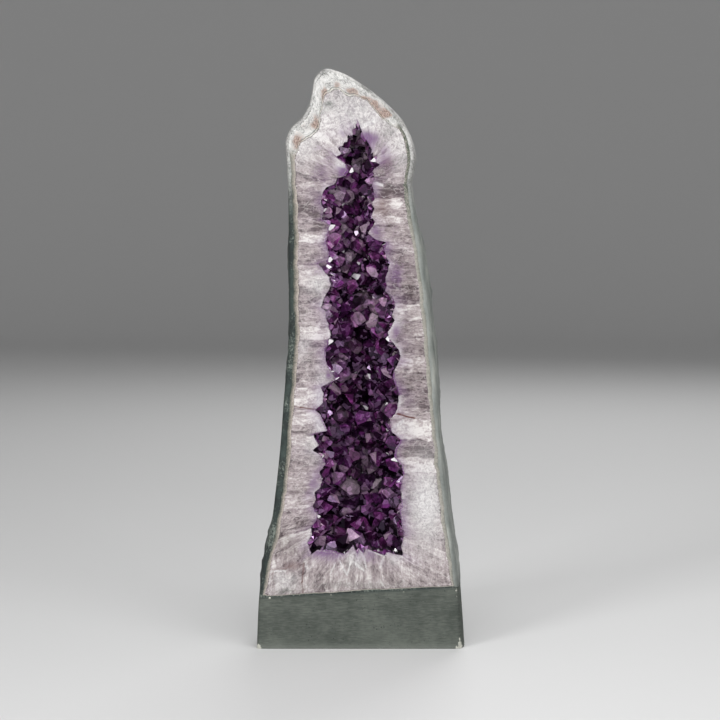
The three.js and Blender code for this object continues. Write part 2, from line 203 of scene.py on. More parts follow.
def mouth_level(z, joint):
    """The mouth's level opposite a level of the rock's edge: the same, or squeezed near the foot."""
    t = np.clip((z - joint) / (SPREAD_TOP - joint), 0, 1)
    return np.where(z < SPREAD_TOP, MOUTH_FOOT + (SPREAD_TOP - MOUTH_FOOT) * t**1.3, z)


climb = np.linspace(0, 1, SIDE_STEPS, endpoint=False)
left_levels = JOINT_LEFT + climb * (SPINE_TOP - JOINT_LEFT)
right_levels = JOINT_RIGHT + climb * (SPINE_TOP - JOINT_RIGHT)
inner_spine = np.maximum(60 + climb * (SPINE_TOP - 60), CUP_SPINE_FOOT)
rock_rim = rim(ROCK_SIDES, CREST, CALM_CREST, left_levels, right_levels, inner_spine)
mouth_rim = rim(
    MOUTH_SIDES,
    MOUTH_CREST,
    MOUTH_CREST,
    mouth_level(left_levels, JOINT_LEFT),
    mouth_level(right_levels, JOINT_RIGHT),
    inner_spine,
)
RIM_COUNT = len(rock_rim)

# Where along the loop each point is: its side, and how far along the middle of the band.
where = np.repeat(
    ["left", "crest", "right", "floor"],
    [SIDE_STEPS, CREST_STEPS + 1, SIDE_STEPS, FLOOR_STEPS - 1],
)
middle = (rock_rim[:, :2] + mouth_rim[:, :2]) / 2
steps = np.linalg.norm(np.roll(middle, -1, axis=0) - middle, axis=1)
band_run = np.r_[0, np.cumsum(steps)]  # one more than the points: the loop's length comes last
band_width = np.linalg.norm(mouth_rim[:, :2] - rock_rim[:, :2], axis=1)


def around(values, blur=14):
    """A width for each side of the loop, eased into the next over a few points."""
    raw = np.array([values[w] for w in where], float)
    kernel = np.hanning(2 * blur + 3)[1:-1]
    wrapped = np.r_[raw[-blur:], raw, raw[:blur]]
    return np.convolve(wrapped, kernel / kernel.sum(), mode="valid")


def wobble(size, amount, seed):
    """A wander along the loop, of the given wave size and amount in millimetres."""
    at = np.c_[middle, np.zeros(RIM_COUNT)]
    return amount * lumps(at, size, seed, octaves=2)


# Distances from the rock's edge, across the face, to the end of each layer.
rind_end = around({"left": 5.0, "crest": 3.8, "right": 3.2, "floor": 1.6})
rind_end = rind_end + wobble(14, 0.8, 3) + wobble(4, 0.35, 9)
thicker_low = 1.4 * (1 - ease(rock_rim[:, 1], 325, 355)) * ease(rock_rim[:, 1], 60, 110)
rind_end += np.where(where == "left", thicker_low, 0)
crest_share = np.linspace(0, 1, CREST_STEPS + 1)
AGATE_OVER_CREST = [
    (0, 5.0), (0.09, 5.0), (0.14, 10), (0.2, 15), (0.4, 15), (0.45, 21), (0.5, 22), (0.56, 16),
    (0.6, 12), (0.7, 11.5), (0.75, 9), (0.785, 3.5), (1, 3),
]
crestness = np.zeros(RIM_COUNT)
crestness[where == "crest"] = ease(crest_share, 0.1, 0.14) * (1 - ease(crest_share, 0.75, 0.785))
agate_width = around({"left": 4.6, "crest": 5, "right": 4.0, "floor": 0.5})
agate_width[where == "crest"] = np.interp(crest_share, *np.transpose(AGATE_OVER_CREST))
agate_width = agate_width * (1 + wobble(15, 0.22, 5)) + crestness * (wobble(9, 1.4, 6) + wobble(4, 0.8, 7))
agate_end = rind_end + np.maximum(agate_width, 1.0)

# A dark green line, speckled, which starts at the right shoulder and fades down the right side.
dark_line = np.where(where == "right", 0.35 + 0.65 * ease(rock_rim[:, 1], 420, 490), 0.0)
dark_line[where == "crest"] = ease(crest_share, 0.75, 0.8)

# The ends of the sawn quartz columns: up the left side, over the cleft at the top, down the right.
MOUTH_OUTLINE = [
    (-50, 97), (-53, 106), (-55, 113), (-50, 121), (-52, 128), (-45, 136), (-44, 143), (-50, 150),
    (-46, 158), (-48, 165), (-41, 171), (-39, 180), (-42, 187), (-36, 195), (-41, 205), (-50, 209),
    (-42, 215), (-47, 221), (-49, 227), (-34, 230), (-37, 238), (-41, 246), (-46.5, 252),
    (-38.5, 260), (-38, 270), (-41, 276), (-31, 281), (-25, 283.5), (-30, 292), (-36, 303),
    (-36, 317), (-32.5, 322), (-31, 331), (-33, 341), (-36.5, 351), (-35, 356), (-40, 360),
    (-38, 370), (-32, 378), (-30, 384), (-32, 392), (-36, 395), (-43, 406), (-33, 410), (-32, 417),
    (-34, 424), (-36, 428), (-35, 434), (-32, 439), (-32, 447), (-40, 453), (-38, 460), (-40, 469),
    (-40, 478), (-35, 487), (-27, 489), (-22, 496), (-16, 497), (-10.5, 503), (-13, 508), (-14, 513),
    (-25, 518), (-19, 522), (-23.5, 527), (-18, 531), (-17, 535), (-12, 536), (-11.5, 541),
    (-6.5, 541), (-8, 547), (-3, 547), (-4, 552), (-1, 555), (1, 548), (-1, 544), (1.5, 541),
    (-0.5, 537), (3, 532), (9, 532), (8, 528), (13.5, 527.5), (12, 522), (18, 519), (17, 514),
    (22.5, 510), (17, 508), (15, 503), (16, 497), (14, 490), (15, 481), (16, 475), (13, 470), (15, 463),
    (13, 456), (16, 449), (9, 438), (18, 431), (28, 429), (26, 422), (28, 413), (32, 407),
    (30, 399), (27, 391), (29, 383), (27, 377), (35, 371), (37, 363), (35, 352), (37, 346),
    (31, 336), (30, 328), (35, 324), (42, 315), (43, 307), (35, 288), (42, 268), (40, 254),
    (39, 249), (32, 241), (34, 229), (44, 221), (37, 210), (37, 202), (44, 194), (46, 185),
    (44, 175), (43, 168), (45, 155), (42, 145), (45, 130), (47, 119), (44, 107), (46, 97),
]
LONGEST_COLUMN = 24
mouth_steps = np.linalg.norm(np.roll(mouth_rim[:, :2], -1, axis=0) - mouth_rim[:, :2], axis=1)
mouth_run = np.r_[0, np.cumsum(mouth_steps)]
spoke = (mouth_rim[:, :2] - rock_rim[:, :2]) / band_width[:, None]


def crossing(start, way, outline):
    """How far each line goes, from its start along its way, until it meets the outline."""
    first, run = outline[:-1], np.diff(outline, axis=0)
    gap = first - start[:, None]
    turn = way[:, 0, None] * run[:, 1] - way[:, 1, None] * run[:, 0]
    turn = np.where(np.abs(turn) < 1e-9, 1e-9, turn)
    far = (gap[..., 0] * run[:, 1] - gap[..., 1] * run[:, 0]) / turn
    share = (gap[..., 0] * way[:, 1, None] - gap[..., 1] * way[:, 0, None]) / turn
    met = (share >= 0) & (share <= 1) & (far > 0)
    return np.where(met, far, np.inf).min(axis=1)


def softened(values, reach):
    """The same values round the loop, each a weighted mean of its neighbours."""
    weight = np.hanning(2 * reach + 3)[1:-1]
    wrapped = np.r_[values[-reach:], values, values[:reach]]
    return np.convolve(wrapped, weight / weight.sum(), mode="valid")


chance = np.random.default_rng(11)
on_floor = where == "floor"
crumble = 0.9 * lumps(np.c_[mouth_rim[:, :2], np.zeros(RIM_COUNT)], 4.5, 21, octaves=3)
edge_reach = crossing(rock_rim[:, :2], spoke, np.array(MOUTH_OUTLINE, float)) - band_width
edge_reach = softened(np.clip(edge_reach, -9, 24), 1) + crumble * (1 + (where == "crest"))
# Along the floor the points stand up: where they are, and how high above the mouth's foot.
FLOOR_OUTLINE = [
    (-54, 12), (-38, 10), (-20, 4), (-17, 3), (-8.7, 13), (-2.5, 5), (0.5, 9), (6, 4.5), (9, 9),
    (20, 7), (27, 2), (36.6, 8), (47, 3),
]
standing_to = np.interp(mouth_rim[on_floor, 0], *np.transpose(FLOOR_OUTLINE))
edge_reach[on_floor] = standing_to + 0.8 * crumble[on_floor]
edge = band_width + edge_reach


def column_cuts_at_notches(random):
    """Where one column ends and the next begins: at the outline's notches, and between if far."""
    near = softened(edge_reach, 3)
    around_it = np.stack([np.roll(near, k) for k in range(-7, 8)])
    notches = mouth_run[:-1][near <= around_it.min(axis=0)]
    cuts = [0.0]
    for notch in np.r_[notches[notches > 4], mouth_run[-1]]:
        while notch - cuts[-1] > LONGEST_COLUMN:
            cuts.append(cuts[-1] + random.uniform(0.45, 0.9) * LONGEST_COLUMN)
        if notch - cuts[-1] > 4:
            cuts.append(notch)
    return np.array(cuts[:-1] + [mouth_run[-1]])


column_cuts = column_cuts_at_notches(chance)
COLUMN_TONE = chance.random(len(column_cuts))
COLUMN_VIOLET = chance.random(len(column_cuts)) ** 2
column_at = np.clip(np.searchsorted(column_cuts, mouth_run[:-1], side="right") - 1, 0, len(column_cuts) - 2)
mottle = np.abs(lumps(np.c_[mouth_rim[:, :2], np.zeros(RIM_COUNT)], 7, 23))
violet_rim = 0.5 + 3.2 * COLUMN_VIOLET[column_at] * (0.35 + mottle)


def on_face(distance):
    """The points of the face this far in from the rock's edge. Rows match the loop's points."""
    t = (distance / band_width)[:, None]
    xz = rock_rim[:, :2] * (1 - t) + mouth_rim[:, :2] * t
    return np.stack([xz[:, 0], front_y(xz[:, 1]), xz[:, 1]], axis=1)


def cup(loop, depth, shares, bulge=False):
    """A layer's wall: at share 0 it is the loop, at share 1 the spine, by a superellipse between.

    The shares are one list for all the loop's points, or a column with one for each point."""
    x, z, calm_x, calm_z, spine_z = loop.T[:, :, None]
    shares = np.atleast_2d(shares)
    angle = shares * np.pi / 2
    across = np.clip(np.cos(angle), 0, 1) ** (2 / ROUNDNESS)
    settle = ease(shares, 0, 0.4)
    edge_x = x * (1 - settle) + calm_x * settle
    edge_z = z * (1 - settle) + calm_z * settle
    sx = spine_x(spine_z)
    pz = spine_z + (edge_z - spine_z) * across
    px = sx + (edge_x - sx) * across
    back = depth(spine_z) * np.sin(angle) ** (2 / ROUNDNESS)
    if bulge:
        most = np.where(edge_x > sx, BULGE_RIGHT, BULGE_LEFT) * (1 - BULGE_LOST * ease(edge_z, 400, 540))
        reach = np.clip(np.abs(edge_x - sx) / 40, 0, 1)
        swell = most * reach * across * (1 - np.exp(-back / BULGE_WITHIN))
        px = px + np.sign(edge_x - sx) * swell
    return np.stack([px, front_y(pz) + back, pz], axis=-1)


def rock_depth(z):
    return smooth(ROCK_DEPTH, z)


def mouth_depth(z):
    return smooth(MOUTH_DEPTH, z)


# ---- Meshes ----


def quads(rows, columns, closed=False):
    """The four-sided faces of a grid of points, rows first, whose rows may close on themselves."""
    i = np.arange(rows if closed else rows - 1)
    j = np.arange(columns - 1)
    i, j = [a.ravel() for a in np.meshgrid(i, j, indexing="ij")]
    k = (i + 1) % rows
    return np.stack([i * columns + j, k * columns + j, k * columns + j + 1, i * columns + j + 1], 1)


def piece(name, points, faces, materials, nodes=(), uv=None, values=None, flat=False, which=None):
    """A mesh in the geode's own place. Points that lie together are joined, and faces turned out."""
    mesh = bpy.data.meshes.new(name)
    mesh.from_pydata((np.asarray(points) * MM).tolist(), [], [list(map(int, f)) for f in faces])
    for key, data in (values or {}).items():
        layer = mesh.attributes.new(key, "FLOAT", "POINT" if len(data) == len(points) else "FACE")
        layer.data.foreach_set("value", np.asarray(data, np.float32))
    for material in materials:
        mesh.materials.append(material)
    if which is not None:
        mesh.polygons.foreach_set("material_index", np.asarray(which, np.int32))
    if uv is not None:
        layer = mesh.uv_layers.new(name="band")
        layer.uv.foreach_set("vector", np.asarray(uv, np.float32).ravel())
    work = bmesh.new()
    work.from_mesh(mesh)
    bmesh.ops.remove_doubles(work, verts=work.verts, dist=2e-6)
    bmesh.ops.dissolve_degenerate(work, edges=work.edges, dist=1e-7)
    bmesh.ops.recalc_face_normals(work, faces=work.faces)
    work.to_mesh(mesh)
    work.free()
    mesh.polygons.foreach_set("use_smooth", [not flat] * len(mesh.polygons))
    thing = bpy.data.objects.new(name, mesh)
    bpy.context.scene.collection.objects.link(thing)
    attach(thing, ROOT)
    if nodes:
        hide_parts(*nodes)
    return thing


def joined(*parts):
    """Several (points, faces) grids as one."""
    points, faces, start = [], [], 0
    for p, f in parts:
        p = p.reshape(-1, 3)
        points.append(p)
        faces.extend((f + start).tolist())
        start += len(p)
    return np.vstack(points), faces


def band_strip(start, end, count):
    """The face between two distances from the rock's edge, and each corner's place on the band."""
    t = np.linspace(0, 1, count)
    away = start[:, None] * (1 - t) + end[:, None] * t
    grid = np.stack([on_face(away[:, k]) for k in range(count)], axis=1)
    faces = quads(RIM_COUNT, count, closed=True)
    return grid, faces, band_places(faces, away), away


def band_places(faces, away):
    """Each corner's millimetres along the loop and in from the rock's edge, unbroken at the seam."""
    row, column = faces // away.shape[1], faces % away.shape[1]
    run = np.where((row == 0) & (row[:, :1] > 0), band_run[-1], band_run[row])
    return np.stack([run, away[row, column]], axis=-1)


# Marks on the sawn quartz: what it is, where its middle is on the face, its reach across and up, and
# how strong it is.
MARKS = [
    ("lilac", -46, 397, 9, 5, 0.9),
    ("lilac", -38, 106, 17, 13, 2.2),
    ("lilac", 11, 104, 8, 14, 1.5),
    ("lilac", 11, 538, 9, 9, 2.4),
    ("lilac", -18, 544, 8, 6, 1.1),
    ("lilac", -44, 528, 6, 5, 0.6),
    ("lilac", -40, 500, 14, 16, 1.0),
    ("lilac", 31, 510, 13, 20, 0.6),
    ("lilac", 36, 440, 8, 14, 0.6),
    ("lilac", 42, 390, 7, 16, 0.5),
    ("lilac", 57, 114, 8, 9, 0.5),
    ("lilac", -52, 165, 9, 16, 0.7),
    ("lilac", 47, 300, 8, 22, 0.5),
    ("milky", -43.5, 384, 11, 11, 1.0),
    ("milky", -38, 272, 8, 30, 0.8),
    ("milky", -47, 214, 11, 15, 0.7),
    ("milky", -42, 238, 5, 8, 1.3),
    ("milky", -41, 264, 5, 8, 1.3),
    ("milky", -80, 72, 14, 10, 0.9),
    ("milky", 47, 233, 9, 9, 0.8),
    # Painted light: the lower right of the face is made lighter as a whole.
    ("milky", 70, 155, 20, 44, 1.4),
    ("milky", -21, 510, 6, 7, 1.2),
    ("milky", 40, 345, 6, 9, 0.7),
    ("milky", -60, 320, 9, 14, 0.5),
    ("milky", -60, 340, 22, 150, 0.12),
    ("dull_and_painted_shade", -76, 112, 24, 15, 0.9),
    ("rust", 24, 466, 9, 8, 0.8),
    ("rust", -72, 87, 9, 4, 0.9),
    ("rust", -76, 183, 3, 8, 0.8),
    ("rust", 30, 512, 7, 9, 0.4),
    # Painted light: the top of the face is made lighter as a whole.
    ("milky", -5, 565, 75, 34, 1.0),
    ("milky", -58, 530, 16, 24, 0.7),
    ("milky", 44, 525, 14, 26, 0.7),
    ("milky", -8, 97, 7, 9, 1.0),
    ("milky", 1, 93, 4, 8, 0.8),
    ("milky", 37, 97, 8, 8, 0.8),
    # Painted shade: the right middle and the bottom of the face are made darker as a whole.
    ("dull_and_painted_shade", 52, 330, 18, 110, 0.45),
    ("dull_and_painted_shade", 0, 72, 95, 14, 0.35),
    ("clot", 28, 565.5, 8.5, 5, 1.7),
    ("clot", 3.7, 579.5, 7, 4.2, 1.6),
    ("clot", 16.5, 573.5, 8, 4.5, 1.2),
    ("clot", -46, 554, 5, 9, 1.3),
    ("clot", -65, 534, 5, 7, 1.5),
    ("clot", -38, 583, 3, 8, 1.4),
    ("clot", -25, 594, 3.5, 4, 0.8),
    ("clot", -9, 587, 8, 3.5, 1.2),
    ("clot", -58, 551, 6, 4, 0.5),
    ("green", 36, 556, 7, 5, 0.9),
    ("green", -33, 573, 5, 3.5, 0.9),
    ("green", -42, 566, 8, 4, 0.5),
    ("green", -78, 60, 12, 4, 0.8),
    ("green", 30, 545, 7, 4, 0.5),
    ("green", 0, 67, 62, 4, 0.4),
    ("lilac", -17, 503, 7, 6, 2.4),
    ("lilac", -33, 289, 4, 6, 1.8),
    ("lilac", 37, 333, 5, 9, 1.3),
    ("lilac", 18, 440, 7, 7, 1.6),
    ("lilac", 38, 395, 8, 14, 1.0),
    ("lilac", 46, 345, 9, 14, 0.6),
    ("lilac", -46, 178, 6, 13, 1.1),
    ("lilac", -30, 520, 9, 12, 0.7),
    ("lilac", 27, 520, 8, 12, 0.8),
]


# Thin marks on the sawn quartz: what it is, its two ends on the face, its half width and strength.
LINES = [
    ("rust", 40, 247.5, 58, 243.5, 0.8, 2.2),
    ("rust", -75, 257.5, -62, 255, 0.6, 1.0),
    ("rust", -62, 255, -46, 251.5, 0.9, 1.5),
    ("rust", -93, 83.5, -78, 84.5, 0.8, 0.8),
    ("rust", -58.7, 91, -60.5, 71, 0.7, 1.6),
    ("rust", -60.5, 71, -60, 59, 0.8, 1.3),
    ("rust", -92, 82, -91, 66, 0.7, 0.9),
    ("seam", -68, 104.5, -59.6, 92.4, 0.9, 1.2),
    ("milky", -94, 81.5, -78, 82.5, 0.7, 1.6),
    ("milky", -59, 94, -54, 84, 1.0, 1.2),
    ("milky", -51, 103.5, -31, 103, 0.5, 1.2),
    ("milky", -21.3, 92.4, -13.8, 78.3, 0.7, 1.8),
    ("milky", -8.2, 92.4, -13.8, 78.3, 0.7, 1.8),
    ("milky", -9.6, 109, -21, 98.4, 0.8, 1.4),
    ("milky", -26, 90.5, -30.6, 78.3, 0.7, 1.3),
    ("seam", -9, 104, -14, 84, 0.7, 0.8),
    ("seam", -20, 97, -24, 84, 0.7, 0.7),
    ("seam", -4.5, 99, -5, 88, 0.8, 0.9),
    ("milky", -0.7, 105, 5.8, 95.2, 0.8, 1.6),
    ("milky", 5.8, 95.2, 7.2, 85.8, 0.8, 1.4),
    ("milky", -5.4, 91.4, 4, 83, 0.9, 1.8),
    ("milky", 8.6, 103, 24.5, 99, 0.6, 1.2),
    ("milky", 25.5, 98.9, 21.7, 85.8, 0.9, 1.4),
    ("seam", 27, 98, 28, 78, 0.8, 0.9),
    ("milky", 35.3, 104.5, 27.3, 98, 0.8, 1.2),
    ("milky", 35.3, 104.5, 46, 97, 0.8, 1.0),
    ("milky", 0, 549, 16, 557, 1.2, 2.2),
    ("milky", -17, 508, -14, 518, 1.6, 2.2),
    ("milky", 17, 491, 24, 489, 1.3, 1.8),
    ("milky", -42, 240, -36, 229, 1.2, 2.2),
    ("milky", -41, 268, -44, 257, 1.2, 2.0),
    ("milky", 46, 241, 34, 231, 1.0, 1.2),
]


def face_values(grid, away):
    """Numbers for each point of the sawn face: its column's tone, the nearness of a seam between
    columns and of the cavity, how violet the cavity's edge is there, and the marks listed above."""
    left = edge[:, None] - away
    drift = 2.2 * lumps(grid, 11, 31, octaves=2)
    run = np.clip(mouth_run[:-1, None] + drift * ease(left, 0, 6), 0, mouth_run[-1])
    k = np.clip(np.searchsorted(column_cuts, run, side="right") - 1, 0, len(column_cuts) - 2)
    between = np.minimum(run - column_cuts[k], column_cuts[k + 1] - run)
    upright = ease(-grid[..., 2], -130, -98)
    seam_end = 11 + 19 * COLUMN_VIOLET[k]
    seam = np.exp(-((between / 0.7) ** 2)) * (1 - ease(left, 0.7 * seam_end, 1.3 * seam_end))
    patches = np.clip(0.35 + 1.4 * lumps(grid, 15, 61, octaves=2), 0, 1)
    values = {
        "column": COLUMN_TONE[k] + (0.5 - COLUMN_TONE[k]) * upright,
        "seam": seam * (0.2 + 0.8 * COLUMN_TONE[k]) * (1 - upright),
        "upright": upright,
        "granular": ease(grid[..., 2], 500, 535),
        "inner": np.exp(-left / 10),
        "bright_end": (1 - COLUMN_VIOLET[k]) * np.exp(-left / 2.4) * (1 - 0.8 * upright) * patches,
        "violet": COLUMN_VIOLET[k] * np.exp(-left / 3.0) + 0.2 * np.exp(-left / 1.2),
    }
    shaken = grid + 2.5 * np.stack([lumps(grid, 7, 41 + n, octaves=2) for n in range(3)], axis=-1)
    for kind in ("lilac", "milky", "rust", "green", "dull_and_painted_shade", "clot"):
        values[kind] = np.zeros(away.shape)
    for kind, x, z, across, up, strength in MARKS:
        place = shaken if min(across, up) > 2 else grid + 0.35 * (shaken - grid)
        gone = ((place[..., 0] - x) / across) ** 2 + ((place[..., 2] - z) / up) ** 2
        values[kind] = values[kind] + strength * np.exp(-gone)
    nearly = grid + 0.3 * (shaken - grid)
    for kind, x, z, end_x, end_z, width, strength in LINES:
        along = np.array([end_x - x, 0, end_z - z])
        start = nearly - np.array([x, 0, z])
        start[..., 1] = 0
        share = np.clip(start @ along / (along @ along), 0, 1)
        apart = np.linalg.norm(start - share[..., None] * along, axis=-1)
        values[kind] = values[kind] + strength * np.exp(-((apart / width) ** 2))
    return {key: value.ravel() for key, value in values.items()}


def padded(values, count):
    """The same numbers, followed by noughts for points that lie off the face."""
    return {key: np.r_[value, np.zeros(count - len(value))] for key, value in values.items()}


# ---- Materials ----


def linear(hex_colour):
    """A colour written as sRGB hex, as the linear numbers a shader takes."""
    c = np.array([int(hex_colour[i : i + 2], 16) for i in (1, 3, 5)]) / 255
    return (*np.where(c <= 0.04045, c / 12.92, ((c + 0.055) / 1.055) ** 2.4), 1.0)


def add(tree, kind, wires=None, out=0, **settings):
    """Adds one node with its settings and its links or values, and gives back one of its outputs."""
    made = tree.nodes.new(kind)
    stops = settings.pop("stops", None)
    for key, value in settings.items():
        setattr(made, key, value)
    for socket, value in (wires or {}).items():
        if isinstance(value, bpy.types.NodeSocket):
            tree.links.new(value, made.inputs[socket])
        else:
            made.inputs[socket].default_value = linear(value) if isinstance(value, str) else value
    if stops:
        ramp = made.color_ramp
        for place, colour in stops[2:]:
            ramp.elements.new(place)
        for element, (place, colour) in zip(ramp.elements, sorted(stops)):
            element.position = place
            element.color = linear(colour) if isinstance(colour, str) else (colour,) * 3 + (1,)
    return made.outputs[out]


def new_material(name, **constants):
    """A material with a Principled shader, whose constant sockets are set on the shader itself."""
    made = bpy.data.materials.new(name)
    made.use_nodes = True
    shader = made.node_tree.nodes["Principled BSDF"]
    for socket, value in constants.items():
        shader.inputs[socket.replace("_", " ")].default_value = value
    return made, made.node_tree, shader


def cement():
    """Trowelled grey-green cement, sawn flat: matte, with fine level grain and small dark pits."""
    made, tree, shader = new_material("grey_green_cement", IOR=1.5, Roughness=0.75)
    names = (
        "low_edge", "chip", "joint",
    )
    mark = {n: add(tree, "ShaderNodeAttribute", out=2, attribute_name=n) for n in names}
    place = add(tree, "ShaderNodeTexCoord", out=3)
    # Grain 1.3 mm high and 8 mm long: the drag of the trowel.
    level = add(tree, "ShaderNodeMapping", {0: place, 3: (130, 130, 800)})
    grain = add(tree, "ShaderNodeTexNoise", {"Vector": level, "Scale": 1, "Detail": 5})
    cloud = add(tree, "ShaderNodeTexNoise", {"Vector": place, "Scale": 30, "Detail": 8, "Roughness": 0.65})
    tone = add(tree, "ShaderNodeMixRGB", {0: 0.6, 1: grain, 2: cloud})
    colour = add(
        tree,
        "ShaderNodeValToRGB",
        {0: tone},
        stops=[(0.4, "#373d37"), (0.6, "#545952"), (0.5, "#464b45")],
    )
    # Pits 0.5 mm wide, drawn at 1 mm so that they show.
    pits = add(tree, "ShaderNodeTexVoronoi", {"Vector": place, "Scale": 260})
    some = add(tree, "ShaderNodeTexNoise", {"Vector": place, "Scale": 55, "Detail": 2})
    near = add(tree, "ShaderNodeMath", {0: some, 1: 0.38, 2: pits}, operation="MULTIPLY_ADD")
    dark = add(tree, "ShaderNodeValToRGB", {0: near}, stops=[(0.26, 1.0), (0.33, 0.0)])
    colour = add(tree, "ShaderNodeMixRGB", {0: dark, 1: colour, 2: "#252a27"})
    low = add(tree, "ShaderNodeMath", {0: mark["low_edge"], 1: 0.55}, operation="MULTIPLY")
    colour = add(tree, "ShaderNodeMixRGB", {0: low, 1: colour, 2: "#6d716b"})
    chalk = add(tree, "ShaderNodeTexNoise", {"Vector": place, "Scale": 330, "Detail": 3})
    chipped = add(tree, "ShaderNodeMath", {0: mark["chip"], 1: chalk, 2: -0.32}, operation="MULTIPLY_ADD")
    bare = add(tree, "ShaderNodeValToRGB", {0: chipped}, stops=[(0.04, 0.0), (0.16, 1.0)])
    colour = add(tree, "ShaderNodeMixRGB", {0: bare, 1: colour, 2: "#b4b4aa"})
    joint = add(tree, "ShaderNodeMath", {0: mark["joint"], 1: 0.75}, operation="MULTIPLY")
    colour = add(tree, "ShaderNodeMixRGB", {0: joint, 1: colour, 2: "#27302d"})
    crumbs = add(tree, "ShaderNodeTexVoronoi", {"Vector": place, "Scale": 150})
    crumb = add(tree, "ShaderNodeValToRGB", {0: crumbs}, stops=[(0.13, 1.0), (0.2, 0.0)])
    shown = add(tree, "ShaderNodeMath", {0: crumb, 1: mark["joint"]}, operation="MULTIPLY")
    colour = add(tree, "ShaderNodeMixRGB", {0: shown, 1: colour, 2: "#d8d6c8"})
    tree.links.new(colour, shader.inputs["Base Color"])
    rough = add(tree, "ShaderNodeMath", {0: grain, 1: pits}, operation="ADD")
    bump = add(tree, "ShaderNodeBump", {"Height": rough, "Strength": 0.35, "Distance": 0.0006})
    tree.links.new(bump, shader.inputs["Normal"])
    return made


def weathered_basalt():
    """Basalt with a celadonite skin: dark teal-green, speckled with chalky white, rubbed pale and
    smooth where it was polished near the face."""
    made, tree, shader = new_material("celadonite_basalt", IOR=1.55)
    mark = {n: add(tree, "ShaderNodeAttribute", out=2, attribute_name=n) for n in ("rubbed", "chalk")}
    place = add(tree, "ShaderNodeTexCoord", out=3)
    cloud = add(tree, "ShaderNodeTexNoise", {"Vector": place, "Scale": 45, "Detail": 8, "Roughness": 0.65})
    fine = add(tree, "ShaderNodeTexNoise", {"Vector": place, "Scale": 420, "Detail": 6, "Roughness": 0.78})
    raw = add(
        tree,
        "ShaderNodeValToRGB",
        {0: cloud},
        stops=[(0.35, "#0b1414"), (0.66, "#313d39"), (0.5, "#192422")],
    )
    # Specks 1 to 2 mm wide where the skin has flaked.
    patches = add(tree, "ShaderNodeTexNoise", {"Vector": place, "Scale": 28, "Detail": 3})
    flaked = add(tree, "ShaderNodeMixRGB", {0: 0.42, 1: fine, 2: patches})
    flaked = add(tree, "ShaderNodeValToRGB", {0: flaked}, stops=[(0.52, 0.0), (0.6, 0.75)])
    raw = add(tree, "ShaderNodeMixRGB", {0: flaked, 1: raw, 2: "#7e867d"})
    streaks = add(tree, "ShaderNodeMapping", {0: place, 3: (150, 150, 26)})
    streak = add(tree, "ShaderNodeTexNoise", {"Vector": streaks, "Scale": 1, "Detail": 5})
    smooth_skin = add(
        tree,
        "ShaderNodeValToRGB",
        {0: streak},
        stops=[(0.36, "#626864"), (0.7, "#969992"), (0.54, "#7a7f7a")],
    )
    patchy = add(tree, "ShaderNodeMath", {0: patches, 1: 4.2, 2: -3.4}, operation="MULTIPLY_ADD")
    worn = add(
        tree,
        "ShaderNodeMath",
        {0: mark["rubbed"], 1: 3.2, 2: patchy},
        operation="MULTIPLY_ADD",
        use_clamp=True,
    )
    colour = add(tree, "ShaderNodeMixRGB", {0: worn, 1: raw, 2: smooth_skin})
    chalky = add(
        tree,
        "ShaderNodeValToRGB",
        {0: add(tree, "ShaderNodeMixRGB", {0: 0.5, 1: cloud, 2: fine})},
        stops=[(0.4, "#6c6c6a"), (0.56, "#bebdba"), (0.47, "#989795")],
    )
    colour = add(tree, "ShaderNodeMixRGB", {0: mark["chalk"], 1: colour, 2: chalky})
    tree.links.new(colour, shader.inputs["Base Color"])
    gloss = add(tree, "ShaderNodeValToRGB", {0: mark["rubbed"]}, stops=[(0.0, 0.8), (1.0, 0.42)])
    tree.links.new(gloss, shader.inputs["Roughness"])
    height = add(tree, "ShaderNodeMixRGB", {0: 0.35, 1: cloud, 2: fine})
    bump = add(tree, "ShaderNodeBump", {"Height": height, "Strength": 0.45, "Distance": 0.0016})
    tree.links.new(bump, shader.inputs["Normal"])
    return made


